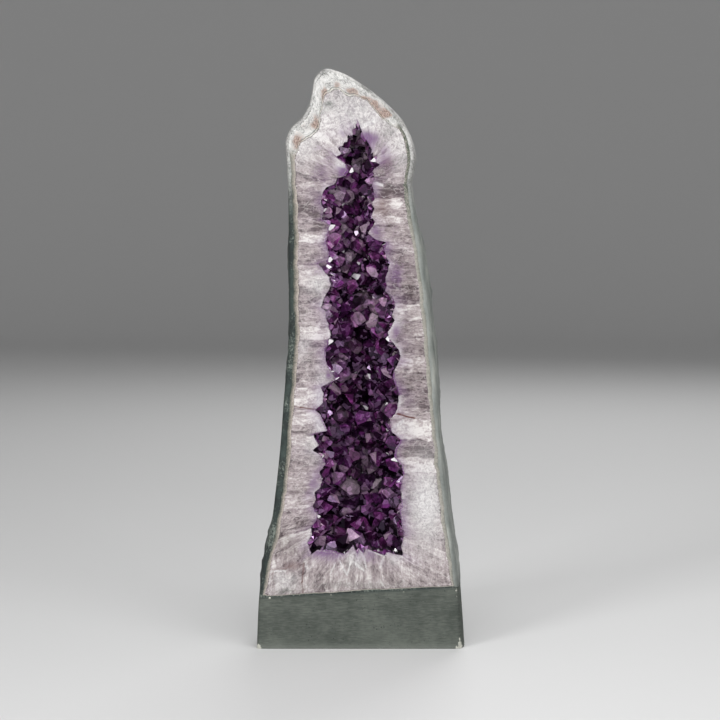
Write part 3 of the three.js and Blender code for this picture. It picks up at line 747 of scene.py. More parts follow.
def polished_agate():
    """Chalky agate, polished: a soft tan band at the sides, and over the crest a fine pale grain
    with brown-pink clots, ended by a thin cream line between dark ones."""
    made, tree, shader = new_material("polished_agate", IOR=1.54, Roughness=0.24)
    names = (
        "through", "clot", "at_right", "dark_line", "over_crest",
    )
    mark = {n: add(tree, "ShaderNodeAttribute", out=2, attribute_name=n) for n in names}
    band = add(tree, "ShaderNodeUVMap", uv_map="band")
    grain = add(tree, "ShaderNodeTexNoise", {"Vector": band, "Scale": 0.6, "Detail": 6, "Roughness": 0.75})
    cloud = add(tree, "ShaderNodeTexNoise", {"Vector": band, "Scale": 0.16, "Detail": 5})
    mixed = add(tree, "ShaderNodeMixRGB", {0: 0.35, 1: grain, 2: cloud})
    pale = add(
        tree,
        "ShaderNodeValToRGB",
        {0: mixed},
        stops=[(0.38, "#747371"), (0.58, "#d8d7d5"), (0.45, "#a3a2a0"), (0.5, "#bdbcba")],
    )
    clot = add(tree, "ShaderNodeValToRGB", {0: grain}, stops=[(0.4, "#66524a"), (0.6, "#b5a299")])
    clots = add(tree, "ShaderNodeMath", {0: mixed, 1: 4.0, 2: mark["clot"]}, operation="MULTIPLY_ADD")
    clots = add(
        tree, "ShaderNodeMath", {0: clots, 1: 1.5, 2: -3.45}, operation="MULTIPLY_ADD", use_clamp=True
    )
    crest = add(tree, "ShaderNodeMixRGB", {0: clots, 1: pale, 2: clot})
    # At the sides the band has no sharp ends: it takes up the rind's specks and the quartz's grey.
    uneven = add(tree, "ShaderNodeMath", {0: mixed, 1: 1.7, 2: -0.66}, operation="MULTIPLY_ADD")
    uneven = add(tree, "ShaderNodeMath", {0: mark["through"], 1: 0.6, 2: uneven}, operation="MULTIPLY_ADD")
    at_left = add(
        tree,
        "ShaderNodeValToRGB",
        {0: uneven},
        stops=[(0.1, "#3d413b"), (0.9, "#aea59f"), (0.3, "#5f6057"), (0.5, "#817b73"), (0.7, "#9c938b")],
    )
    at_right = add(
        tree,
        "ShaderNodeValToRGB",
        {0: uneven},
        stops=[(0.05, "#7d7e76"), (0.9, "#aaa49e"), (0.45, "#9a968e")],
    )
    dulled = add(tree, "ShaderNodeMixRGB", {0: mark["at_right"], 1: at_left, 2: at_right})
    specks = add(
        tree, "ShaderNodeMath", {0: mixed, 1: -5.0, 2: 3.1}, operation="MULTIPLY_ADD", use_clamp=True
    )
    specks = add(tree, "ShaderNodeMath", {0: specks, 1: mark["dark_line"]}, operation="MULTIPLY")
    dulled = add(tree, "ShaderNodeMixRGB", {0: specks, 1: dulled, 2: "#444c42"})
    colour = add(tree, "ShaderNodeMixRGB", {0: mark["over_crest"], 1: dulled, 2: crest})
    line = add(
        tree,
        "ShaderNodeValToRGB",
        {0: mark["through"]},
        stops=[(0.8, 0.0), (0.99, 0.7), (0.86, 0.75), (0.9, 0.0), (0.95, 0.0)],
    )
    lined = add(tree, "ShaderNodeMath", {0: line, 1: mark["over_crest"]}, operation="MULTIPLY")
    colour = add(tree, "ShaderNodeMixRGB", {0: lined, 1: colour, 2: "#4c5048"})
    bright = add(
        tree,
        "ShaderNodeValToRGB",
        {0: mark["through"]},
        stops=[(0.885, 0.0), (0.96, 0.0), (0.92, 0.8)],
    )
    bright = add(tree, "ShaderNodeMath", {0: bright, 1: mark["over_crest"]}, operation="MULTIPLY")
    colour = add(tree, "ShaderNodeMixRGB", {0: bright, 1: colour, 2: "#cdc4b6"})
    tree.links.new(colour, shader.inputs["Base Color"])
    return made


def polished_quartz():
    """Milky quartz columns cut and polished: crazed like crushed ice, lilac towards the cavity."""
    made, tree, shader = new_material("polished_milky_quartz", IOR=1.54, Roughness=0.17)
    names = (
        "upright", "granular", "column", "milky", "dull_and_painted_shade", "lilac", "inner", "rust", "green", "seam",
        "bright_end", "violet",
    )
    mark = {n: add(tree, "ShaderNodeAttribute", out=2, attribute_name=n) for n in names}
    band = add(tree, "ShaderNodeUVMap", uv_map="band")
    warp = add(tree, "ShaderNodeTexNoise", {"Vector": band, "Scale": 0.09, "Detail": 3}, out=1)
    bent = add(tree, "ShaderNodeMixRGB", {0: 6.0, 1: band, 2: warp}, blend_type="LINEAR_LIGHT")
    # Columns 6 mm wide and 26 mm long, lying straight in from the rim, with creases between them.
    long_way = add(tree, "ShaderNodeMapping", {0: bent, 3: (0.16, 0.038, 1)})
    columns = add(tree, "ShaderNodeTexVoronoi", {"Vector": long_way, "Scale": 1}, out=1)
    creases = add(
        tree, "ShaderNodeTexVoronoi", {"Vector": long_way, "Scale": 1}, feature="DISTANCE_TO_EDGE"
    )
    strands = add(
        tree,
        "ShaderNodeTexNoise",
        {"Vector": long_way, "Scale": 1.9, "Detail": 7, "Roughness": 0.6, "Distortion": 0.7},
    )
    place = add(tree, "ShaderNodeTexCoord", out=3)
    crumple = add(
        tree,
        "ShaderNodeTexNoise",
        {"Vector": place, "Scale": 240, "Detail": 7, "Roughness": 0.68, "Distortion": 1.6},
    )
    cloud = add(tree, "ShaderNodeTexNoise", {"Vector": bent, "Scale": 0.05, "Detail": 4})
    # Below the cavity the columns stand upright.
    upright = add(tree, "ShaderNodeMapping", {0: place, 3: (170, 170, 42)})
    standing = add(
        tree,
        "ShaderNodeTexNoise",
        {"Vector": upright, "Scale": 1.5, "Detail": 7, "Roughness": 0.62, "Distortion": 0.5},
    )
    strands = add(tree, "ShaderNodeMixRGB", {0: mark["upright"], 1: strands, 2: standing})
    chips = add(tree, "ShaderNodeTexVoronoi", {"Vector": long_way, "Scale": 3.1}, out=1)
    share = add(tree, "ShaderNodeMath", {0: mark["granular"], 1: 0.42, 2: 0.42}, operation="MULTIPLY_ADD")
    tone = add(tree, "ShaderNodeMixRGB", {0: share, 1: strands, 2: crumple})
    tone = add(tree, "ShaderNodeMixRGB", {0: 0.09, 1: tone, 2: chips})
    tone = add(tree, "ShaderNodeMixRGB", {0: 0.13, 1: tone, 2: columns})
    tone = add(tree, "ShaderNodeMixRGB", {0: 0.15, 1: tone, 2: mark["column"]})
    tone = add(tree, "ShaderNodeMixRGB", {0: 0.2, 1: tone, 2: cloud})
    colour = add(
        tree,
        "ShaderNodeValToRGB",
        {0: tone},
        stops=[(0.4, "#54494c"), (0.59, "#d8d4d2"), (0.45, "#7d7274"), (0.5, "#9c9192"), (0.545, "#b5acac")],
    )
    wrinkle = add(tree, "ShaderNodeMath", {0: crumple, 1: 0.16}, operation="MULTIPLY")
    crease = add(tree, "ShaderNodeMath", {0: creases, 1: wrinkle}, operation="ADD")
    bright = add(tree, "ShaderNodeValToRGB", {0: crease}, stops=[(0.075, 0.45), (0.11, 0.0)])
    colour = add(tree, "ShaderNodeMixRGB", {0: bright, 1: colour, 2: "#cecac8"})
    # Milky spots; the broadest of these marks are painted light over the top and lower right of the face.
    clean = add(tree, "ShaderNodeMath", {0: mark["milky"], 1: 0.75}, operation="MULTIPLY", use_clamp=True)
    milk = add(tree, "ShaderNodeValToRGB", {0: crumple}, stops=[(0.38, "#a5a1a3"), (0.58, "#d6d4d3")])
    colour = add(tree, "ShaderNodeMixRGB", {0: clean, 1: colour, 2: milk})
    # Painted shade: darker down the right middle and along the bottom of the face, and a darker patch low on
    # the left.
    dull_and_painted_shade = add(tree, "ShaderNodeMath", {0: mark["dull_and_painted_shade"], 1: 0.6}, operation="MULTIPLY", use_clamp=True)
    dulled = add(tree, "ShaderNodeMixRGB", {0: 1.0, 1: colour, 2: "#a8a5a0"}, blend_type="MULTIPLY")
    colour = add(tree, "ShaderNodeMixRGB", {0: dull_and_painted_shade, 1: colour, 2: dulled})
    near = add(tree, "ShaderNodeMath", {0: cloud, 1: 2.6, 2: -1.0}, operation="MULTIPLY_ADD", use_clamp=True)
    lilac = add(tree, "ShaderNodeMath", {0: crumple, 1: 2.8, 2: mark["lilac"]}, operation="MULTIPLY_ADD")
    lilac = add(
        tree, "ShaderNodeMath", {0: lilac, 1: 0.72, 2: -1.32}, operation="MULTIPLY_ADD", use_clamp=True
    )
    lilac = add(tree, "ShaderNodeMath", {0: lilac, 1: 0.85}, operation="MULTIPLY")
    colour = add(tree, "ShaderNodeMixRGB", {0: lilac, 1: colour, 2: "#6d4f76"})
    soft = add(tree, "ShaderNodeMath", {0: near, 1: mark["inner"]}, operation="MULTIPLY")
    colour = add(tree, "ShaderNodeMixRGB", {0: soft, 1: colour, 2: "#75597f"})
    rust = add(tree, "ShaderNodeMath", {0: mark["rust"], 1: crumple}, operation="MULTIPLY")
    rust = add(tree, "ShaderNodeMath", {0: rust, 1: 1.1}, operation="MULTIPLY", use_clamp=True)
    colour = add(tree, "ShaderNodeMixRGB", {0: rust, 1: colour, 2: "#552d29"})
    green = add(tree, "ShaderNodeMath", {0: mark["green"], 1: strands}, operation="MULTIPLY")
    green = add(tree, "ShaderNodeMath", {0: green, 1: 1.3}, operation="MULTIPLY", use_clamp=True)
    colour = add(tree, "ShaderNodeMixRGB", {0: green, 1: colour, 2: "#3a463e"})
    seam = add(tree, "ShaderNodeMath", {0: mark["seam"], 1: 0.5}, operation="MULTIPLY", use_clamp=True)
    colour = add(tree, "ShaderNodeMixRGB", {0: seam, 1: colour, 2: "#55444b"})
    end = add(tree, "ShaderNodeMath", {0: mark["bright_end"], 1: 0.8}, operation="MULTIPLY")
    colour = add(tree, "ShaderNodeMixRGB", {0: end, 1: colour, 2: "#dad7d9"})
    deep = add(tree, "ShaderNodeMath", {0: mark["violet"], 1: 1.1}, operation="MULTIPLY", use_clamp=True)
    colour = add(tree, "ShaderNodeMixRGB", {0: deep, 1: colour, 2: "#5c2a66"})
    tree.links.new(colour, shader.inputs["Base Color"])
    return made


def amethyst():
    """Amethyst points: glassy, deep violet at the tips, with veils inside, milky at the roots, and painted
    light and shade on their facets.
    """
    violet_gloss = (0.82, 0.6, 0.95, 1)
    made, tree, shader = new_material("amethyst", IOR=1.54, Roughness=0.05, Specular_Tint=violet_gloss)
    names = (
        "growth", "facet", "tone", "glint",
    )
    mark = {n: add(tree, "ShaderNodeAttribute", out=2, attribute_name=n) for n in names}
    place = add(tree, "ShaderNodeTexCoord", out=3)
    cloud = add(tree, "ShaderNodeTexNoise", {"Vector": place, "Scale": 150, "Detail": 5, "Distortion": 0.8})
    cloudy = add(tree, "ShaderNodeMath", {0: cloud, 1: 0.5, 2: mark["growth"]}, operation="MULTIPLY_ADD")
    depth = add(tree, "ShaderNodeMath", {0: cloudy, 1: 0.25}, operation="SUBTRACT")
    colour = add(
        tree,
        "ShaderNodeValToRGB",
        {0: depth},
        stops=[(0.12, "#c4b8bc"), (0.95, "#a452a0"), (0.3, "#b098ab"), (0.45, "#9a6a98"), (0.68, "#8a4488")],
    )
    warm = add(tree, "ShaderNodeValToRGB", {0: mark["tone"]}, stops=[(0.2, "#b04a8a"), (0.8, "#6a4ab8")])
    colour = add(tree, "ShaderNodeMixRGB", {0: 0.22, 1: colour, 2: warm}, blend_type="SOFT_LIGHT")
    # Painted light and shade: each facet is darkened at random, from nearly black to full colour, for what
    # it would show of the crystal's inside: nearly nothing, or light from behind.
    shade = add(
        tree,
        "ShaderNodeValToRGB",
        {0: mark["facet"]},
        stops=[(0.0, 0.02), (1.0, 1.0), (0.3, 0.11), (0.6, 0.4), (0.85, 0.95)],
    )
    colour = add(tree, "ShaderNodeMixRGB", {0: 1.0, 1: colour, 2: shade}, blend_type="MULTIPLY")
    # Painted inner reflections: crisp patches 5 mm across, softer dark clouds and small pale sparks.
    inner = add(tree, "ShaderNodeTexVoronoi", {"Vector": place, "Scale": 200}, out=1)
    patch = add(tree, "ShaderNodeValToRGB", {0: inner}, stops=[(0.36, 0.08), (0.62, 1.0)])
    colour = add(tree, "ShaderNodeMixRGB", {0: 0.55, 1: colour, 2: patch}, blend_type="MULTIPLY")
    depths = add(tree, "ShaderNodeValToRGB", {0: cloud}, stops=[(0.38, 0.2), (0.6, 1.0)])
    colour = add(tree, "ShaderNodeMixRGB", {0: 0.7, 1: colour, 2: depths}, blend_type="MULTIPLY")
    spark = add(tree, "ShaderNodeValToRGB", {0: inner}, stops=[(0.68, 0.0), (0.8, 0.5)])
    colour = add(tree, "ShaderNodeMixRGB", {0: spark, 1: colour, 2: "#94749a"}, blend_type="SCREEN")
    # Painted reflection: the brightest facets turn pale greyish lilac, as if they dimly mirrored a lamp.
    lit = add(
        tree, "ShaderNodeMath", {0: mark["facet"], 1: 6.0, 2: -5.0}, operation="MULTIPLY_ADD", use_clamp=True
    )
    lit = add(tree, "ShaderNodeMath", {0: lit, 1: cloud}, operation="MULTIPLY", use_clamp=True)
    colour = add(tree, "ShaderNodeMixRGB", {0: lit, 1: colour, 2: "#c8b4bf"})
    # Veils inside the crystals.
    veil = add(tree, "ShaderNodeTexNoise", {"Vector": place, "Scale": 520, "Detail": 6, "Distortion": 1.6})
    veil = add(tree, "ShaderNodeValToRGB", {0: veil}, stops=[(0.38, 0.22), (0.62, 0.78)])
    colour = add(tree, "ShaderNodeMixRGB", {0: 0.5, 1: colour, 2: veil}, blend_type="OVERLAY")
    # Painted glints: a few small faces are painted white, as if they mirrored a lamp.
    colour = add(tree, "ShaderNodeMixRGB", {0: mark["glint"], 1: colour, 2: "#f6f2f5"})
    tree.links.new(colour, shader.inputs["Base Color"])
    return made


def clear_quartz():
    """Clear quartz points: glassy and colourless, milky inside, with bright veils."""
    made, tree, shader = new_material("clear_quartz", IOR=1.54, Roughness=0.06)
    place = add(tree, "ShaderNodeTexCoord", out=3)
    long_way = add(tree, "ShaderNodeMapping", {0: place, 3: (420, 420, 110)})
    veil = add(tree, "ShaderNodeTexNoise", {"Vector": long_way, "Scale": 1, "Detail": 6, "Distortion": 0.7})
    colour = add(
        tree,
        "ShaderNodeValToRGB",
        {0: veil},
        stops=[(0.36, "#5d545c"), (0.62, "#c9c5c7"), (0.47, "#948b92")],
    )
    # Painted light and shade: each facet is darkened at random, for how much light it would show from
    # inside.
    facet = add(tree, "ShaderNodeAttribute", out=2, attribute_name="facet")
    shade = add(tree, "ShaderNodeValToRGB", {0: facet}, stops=[(0.0, 0.35), (0.7, 1.0)])
    colour = add(tree, "ShaderNodeMixRGB", {0: 1.0, 1: colour, 2: shade}, blend_type="MULTIPLY")
    tree.links.new(colour, shader.inputs["Base Color"])
    return made


def cavity_ground():
    """The ground between the points: amethyst roots painted nearly black as shade, and without gloss."""
    made, tree, shader = new_material("amethyst_ground", IOR=1.3, Roughness=0.7)
    place = add(tree, "ShaderNodeTexCoord", out=3)
    cloud = add(tree, "ShaderNodeTexNoise", {"Vector": place, "Scale": 220, "Detail": 4})
    colour = add(tree, "ShaderNodeValToRGB", {0: cloud}, stops=[(0.35, "#12060f"), (0.7, "#3a1d3f")])
    tree.links.new(colour, shader.inputs["Base Color"])
    return made


CEMENT = cement()
BASALT = weathered_basalt()
AGATE = polished_agate()
QUARTZ = polished_quartz()
AMETHYST = amethyst()
CLEAR = clear_quartz()
GROUND = cavity_ground()

# ---- The rock ----

WALL_SHARES = np.linspace(0, 1, 7)
AGATE_STEPS, QUARTZ_STEPS = 12, 32  # points across each layer on the face


def loop_in(distance):
    """The loop this far in from the rock's edge, with the spine that all layers share."""
    t = (distance / band_width)[:, None]
    loop = rock_rim * (1 - t) + mouth_rim * t
    loop[:, 4] = rock_rim[:, 4]
    return loop


def layer_shell(start, end, outer_depth, inner_depth, count):
    """A layer as a closed shell: its strip of the face, and the two walls it has behind that."""
    grid, faces, uv, away = band_strip(start, end, count)
    outer = cup(loop_in(start), outer_depth, WALL_SHARES)
    inner = cup(loop_in(end), inner_depth, WALL_SHARES)
    wall = quads(RIM_COUNT, len(WALL_SHARES), closed=True)
    points, all_faces = joined((grid, faces), (outer, wall), (inner, wall))
    uv = np.vstack([uv.reshape(-1, 2), np.zeros((2 * wall.size, 2))])
    return points, all_faces, uv, grid, away


def agate_outer_depth(z):
    return rock_depth(z) - RIND_BACK


def agate_inner_depth(z):
    return rock_depth(z) - (RIND_BACK + AGATE_BACK)


def quartz_inner_depth(z):
    return mouth_depth(z) + BED


points, faces, uv, grid, away = layer_shell(
    rind_end, agate_end, agate_outer_depth, agate_inner_depth, AGATE_STEPS
)
through = np.tile(np.linspace(0, 1, AGATE_STEPS), RIM_COUNT)
values = {
    "through": through,
    "over_crest": np.repeat(crestness, AGATE_STEPS),
    "at_right": np.repeat(around({"left": 0, "crest": 0.5, "right": 1, "floor": 0.5}, 40), AGATE_STEPS),
    "dark_line": np.repeat(dark_line, AGATE_STEPS),
    "clot": face_values(grid, away)["clot"],
}
values = padded(values, len(points))
piece("agate_band", points, faces, [AGATE], ["agate_band"], uv=uv, values=values)

quartz_end = edge - violet_rim
points, faces, uv, grid, away = layer_shell(
    agate_end, quartz_end, agate_inner_depth, quartz_inner_depth, QUARTZ_STEPS
)
values = padded(face_values(grid, away), len(points))
piece("quartz_wall", points, faces, [QUARTZ], ["quartz_wall"], uv=uv, values=values)

# The cavity's lining: a thin violet edge on the face, and the ground that the points stand on, painted dark
# as shade.
GROUND_SHARES = np.r_[np.linspace(0, 0.12, 10)[:-1], np.linspace(0.12, 1, 32)]


def cavity_wall(shares):
    """The cavity's wall, which starts at the columns' ends and loses their outline further back."""
    wall = cup(mouth_rim, mouth_depth, shares)
    back = wall[..., 1] - front_y(wall[..., 2])
    push = edge_reach[:, None] * (1 - ease(back, 2, 26))
    wall[..., 0] += spoke[:, None, 0] * push
    wall[..., 2] += spoke[:, None, 1] * push
    wall[..., 1] += LEAN * spoke[:, None, 1] * push
    return wall


bed_grid, bed_faces, bed_uv, bed_away = band_strip(quartz_end, edge, 4)
ground = cavity_wall(GROUND_SHARES)
behind = cup(loop_in(quartz_end), quartz_inner_depth, WALL_SHARES)
points, faces = joined(
    (bed_grid, bed_faces),
    (ground, quads(RIM_COUNT, len(GROUND_SHARES), closed=True)),
    (behind, quads(RIM_COUNT, len(WALL_SHARES), closed=True)),
)
uv = np.vstack([bed_uv.reshape(-1, 2), np.zeros((len(faces) * 4 - bed_faces.size, 2))])
piece(
    "amethyst_bed",
    points,
    faces,
    [QUARTZ, GROUND],
    ["amethyst_bed"],
    uv=uv,
    values=padded(face_values(bed_grid, bed_away), len(points)),
    which=np.arange(len(faces)) >= len(bed_faces),
)


def outside_grid(left_z, right_z, spine_z, shares, with_crest):
    """The rock's outside, from rim to rim round the back, with its swell."""
    left = np.stack([smooth(ROCK_SIDES, left_z, 1), left_z], axis=1)
    right = np.stack([smooth(ROCK_SIDES, right_z, 2), right_z], axis=1)
    loops = [np.c_[left, left, spine_z]]
    if with_crest:
        over = even_curve(CREST, CREST_STEPS)
        calm = even_curve(CALM_CREST, CREST_STEPS)
        loops.append(np.c_[over, calm, np.full(len(over), SPINE_TOP)])
    loops.append(np.c_[right, right, spine_z][::-1])
    loop = np.vstack(loops)
    return cup(loop, rock_depth, shares, bulge=True), loop


def rubbed(grid, loop):
    """Rounds the edge where the outside meets the face: a quarter circle, drawn inwards."""
    back = grid[..., 1] - front_y(grid[..., 2])
    inward = np.stack([spine_x(loop[:, 4]) - loop[:, 0], loop[:, 4] - loop[:, 1]], axis=1)
    inward /= np.linalg.norm(inward, axis=1, keepdims=True)
    short = np.clip(RIM_ROUND - back, 0, RIM_ROUND)
    shift = RIM_ROUND - np.sqrt(RIM_ROUND**2 - short**2)
    grid[..., 0] += inward[:, None, 0] * shift
    grid[..., 2] += inward[:, None, 1] * shift
    return grid


def weathered(grid, fade):
    """Lifts and sinks a surface by lumps of several sizes, along a line from the rock's middle."""
    heart = np.stack(
        [
            spine_x(np.clip(grid[..., 2], 0, SPINE_TOP)),
            front_y(grid[..., 2]) + 0.35 * rock_depth(grid[..., 2]),
            np.clip(grid[..., 2], None, SPINE_TOP),
        ],
        axis=-1,
    )
    out = grid - heart
    out /= np.maximum(np.linalg.norm(out, axis=-1, keepdims=True), 1)
    relief = 3.0 * lumps(grid, 75, 2) + 1.6 * lumps(grid, 26, 4) + 0.9 * lumps(grid, 9, 6, octaves=2)
    pits = np.clip(lumps(grid, 13, 8, octaves=2) - 0.45, 0, 1)
    return grid + out * ((relief - 4 * pits) * fade)[..., None]


def edge_shares(count):
    """Shares from the rim to the spine: close together at the rubbed edge, even behind it."""
    near = np.array([0.05, 0.2, 0.5, 1.0, 1.7, 2.6, 3.6]) / 150
    near = np.arcsin(near ** (ROUNDNESS / 2)) / (np.pi / 2)
    return np.r_[0, near, np.linspace(near[-1], 1, count)[1:]]


def ruled(start, end, share):
    """The straight surface between two lines of points."""
    return start[:, None] * (1 - share[:, None]) + end[:, None] * share[:, None]


shares = edge_shares(40)
floor_share = np.linspace(0, 1, FLOOR_STEPS + 1)
SPINE_ALONG_JOINT = 0.515  # where the spine stands, from the joint's left end to its right
mid_joint = JOINT_LEFT + (JOINT_RIGHT - JOINT_LEFT) * SPINE_ALONG_JOINT
outer, outer_loop = outside_grid(
    left_levels, right_levels, mid_joint + climb * (SPINE_TOP - mid_joint), shares, True
)
outer = rubbed(outer, outer_loop)
back = outer[..., 1] - front_y(outer[..., 2])
outer = weathered(outer, ease(back, 1, 30) * ease(outer[..., 2], 60, 80))
underside = ruled(outer[-1], outer[0], floor_share)
strip_start = np.vstack([outer[:, 0], underside[0, 1:-1]])
strip = ruled(strip_start, on_face(rind_end), np.linspace(0, 1, 4))
inside = cup(loop_in(rind_end), agate_outer_depth, WALL_SHARES)
points, faces = joined(
    (outer, quads(len(outer), len(shares))),
    (underside, quads(len(shares), len(floor_share))),
    (strip, quads(RIM_COUNT, 4, closed=True)),
    (inside, quads(RIM_COUNT, len(WALL_SHARES), closed=True)),
)
# Where the skin was polished off: chalky over the crest, smooth down the right side, raw at the left.
chalk = around({"left": 0.0, "crest": 1.0, "right": 0.12, "floor": 0.0}, 60)
smooth_side = around({"left": 0.0, "crest": 0.5, "right": 0.95, "floor": 0.0}, 60)
outside_rows = len(outer_loop)
worn = 1 - ease(back, 6, 34)
values = {
    "chalk": np.r_[
        (chalk[:outside_rows, None] * worn).ravel(),
        np.zeros(underside.size // 3),
        np.repeat(chalk, strip.shape[1]),
    ],
    "rubbed": np.r_[
        (smooth_side[:outside_rows, None] * (1 - ease(back, 12, 115))).ravel(),
        np.zeros(underside.size // 3),
        np.repeat(smooth_side, strip.shape[1]),
    ],
}
piece("basalt_rind", points, faces, [BASALT], ["basalt_rind"], values=padded(values, len(points)))

# The foot: its two sides round to the back, its front, its top and its underside.
up = np.linspace(0, 1, 56)
foot, foot_loop = outside_grid(JOINT_LEFT * up, JOINT_RIGHT * up, mid_joint * up, shares, False)
foot = rubbed(foot, foot_loop)
half = len(up)
left_side, right_side = foot[:half], foot[half:][::-1]
front = ruled(left_side[:, 0], right_side[:, 0], floor_share)
top = ruled(left_side[-1], right_side[-1], floor_share)
under = ruled(left_side[0], right_side[0], floor_share)
parts = [left_side, right_side, front, top, under]
points, faces = joined(*[(grid, quads(*grid.shape[:2])) for grid in parts])
x, y, z = points.T
reach = np.minimum(np.abs(x - smooth(ROCK_SIDES, z, 1)), np.abs(x - smooth(ROCK_SIDES, z, 2)))
corner = np.exp(-((reach / 7) ** 2) - (z / 5.5) ** 2 - (np.clip(y - front_y(z), 0, None) / 9) ** 2)
upright = np.exp(-((reach / 1.8) ** 2)) * (y - front_y(z) < 4)
upright = upright * ease(lumps(points, 9, 51, octaves=2), -0.1, 0.5)
joint_z = np.interp(x, [-105, 100], [JOINT_LEFT, JOINT_RIGHT])
values = {
    "chip": np.clip(1.5 * corner + 0.5 * upright * (x > 0) + 0.3 * upright, 0, 1.6),
    "low_edge": np.exp(-((z / 5) ** 2)),
    "joint": np.exp(-(((joint_z - z) / 1.4) ** 2)) * (y - front_y(z) < 12),
}
# The corners are chipped as well as bare.
points = points + np.array([0, 1, 0.4]) * (2.2 * corner * np.abs(lumps(points, 5, 53, octaves=2)))[:, None]
points[:, 2] = np.where(z == 0, 0, points[:, 2])
piece("cement_foot", points, faces, [CEMENT], ["cement_foot"], values=values)

# ---- The crystals ----

TIP_SLOPE = np.radians(51.8)  # between a tip's faces and the point's own axis, as their normals lie
SAW_BEHIND = 0.3  # sawn points end this far behind the polished face
SAW_NORMAL = np.array([0, -1, LEAN]) / np.hypot(1, LEAN)
SAW_AT = SAW_NORMAL @ np.array([0, FRONT_Y + SAW_BEHIND, 0])
# Glints are painted: the faces picked here are coloured white as if they caught a lamp.
GLINT_CHANCE, GLINT_LARGEST = 0.12, 16  # how many faces catch the light, of those up to so many mm2
LARGEST_SAWN = 60  # mm2
TRIPLES = np.array(list(itertools.combinations(range(14), 3)))


def quartz_point(random, root, axis, radius, height, sunk):
    """A crystal: the space inside its six side faces, six tip faces, its root and the saw's plane.

    Its corners are where three of those planes meet without passing a fourth. Gives the corners,
    the faces as lists of corners, how far up each corner is from root to tip, which faces are the
    saw's, and each face's normal, as long as its area."""
    turn = random.uniform(0, np.pi / 3) + np.arange(6) * np.pi / 3
    flat = np.stack([np.cos(turn), np.sin(turn), np.zeros(6)], axis=1)
    tilted = flat * np.sin(TIP_SLOPE) + np.array([0, 0, np.cos(TIP_SLOPE)])
    side = radius * random.uniform(0.76, 1.14, 6)
    lag = np.where(np.arange(6) % 2 == 0, 0, random.uniform(0.0, 0.3)) + random.uniform(-0.08, 0.09, 6)
    tip = height * np.cos(TIP_SLOPE) + radius * lag
    normals = np.vstack([flat, tilted, [[0, 0, -1]]])
    offsets = np.r_[side, tip, sunk]
    up = axis / np.linalg.norm(axis)
    across = np.cross(up, [0.31, 0.17, 0.93])
    across /= np.linalg.norm(across)
    turned = np.stack([across, np.cross(up, across), up], axis=0)
    normals = np.vstack([normals @ turned, SAW_NORMAL])
    offsets = np.r_[offsets + normals[:-1] @ root, SAW_AT]
    a, b, c = normals[TRIPLES].transpose(1, 0, 2)
    ab, bc, ca = np.cross(a, b), np.cross(b, c), np.cross(c, a)
    volume = np.einsum("ij,ij->i", a, bc)
    fair = np.abs(volume) > 1e-6
    da, db, dc = offsets[TRIPLES].T[..., None]
    corners = (da * bc + db * ca + dc * ab)[fair] / volume[fair, None]
    inside = (corners @ normals.T <= offsets + 1e-6).all(axis=1)
    corners = np.unique(np.round(corners[inside], 5), axis=0)
    if len(corners) < 4:
        return None
    on = np.abs(corners @ normals.T - offsets) < 1e-3
    faces, sawn = [], []
    for k, normal in enumerate(normals):
        ring = np.flatnonzero(on[:, k])
        if len(ring) < 3:
            continue
        spoke = corners[ring] - corners[ring].mean(axis=0)
        first = spoke[0] / np.linalg.norm(spoke[0])
        angle = np.arctan2(spoke @ np.cross(normal, first), spoke @ first)
        faces.append(ring[np.argsort(angle)])
        sawn.append(k == len(normals) - 1)
    along = ((corners - root) @ up + sunk) / (height + sunk)
    spans = [corners[f[1:]] - corners[f[0]] for f in faces]
    facing = [np.cross(span[:-1], span[1:]).sum(axis=0) / 2 for span in spans]
    return corners, faces, along, np.array(sawn), np.array(facing)


# Painted shade and light on the druse, darker (more than nought) and brighter parts: middle, reach across
# and up, strength.
SHADES = [
    (-4, 518, 8, 16, 1.5), (11, 487, 5, 14, 1.8), (-24, 453, 10, 4, 1.3), (3, 434, 9, 5, 1.3),
    (12, 430, 5, 7, 1.2), (-3, 387, 9, 4, 1.3), (23, 382, 7, 7, 1.3), (-24, 369, 9, 4, 1.2),
    (20, 345, 17, 8, 1.3), (5, 324, 8, 7, 1.2), (35, 304, 9, 11, 1.7), (-32, 312, 6, 7, 1.3),
    (2, 263, 13, 13, 1.4), (35, 260, 8, 16, 1.4), (-32, 248, 8, 7, 1.2), (-36, 222, 12, 7, 1.2),
    (31, 217, 9, 13, 1.5), (37, 183, 9, 19, 1.7), (25, 120, 24, 14, 1.9), (-25, 122, 14, 9, 1.2),
    (-23, 486, 13, 16, -1.0), (-4, 425, 8, 6, -1.0), (22, 425, 5, 5, -1.0), (4, 307, 9, 7, -1.0),
    (19, 295, 9, 9, -0.9), (-18, 269, 6, 6, -1.1), (5, 228, 20, 12, -0.9), (0, 195, 22, 12, -0.4),
    (-10, 460, 40, 70, -0.45),
]


def shade_at(x, z):
    """How much darker the druse is painted here than elsewhere, as doublings; below nought it is painted
    brighter.
    """
    x0, z0, across, up, strength = np.transpose(SHADES)
    return (strength * np.exp(-(((x - x0) / across) ** 2) - ((z - z0) / up) ** 2)).sum()


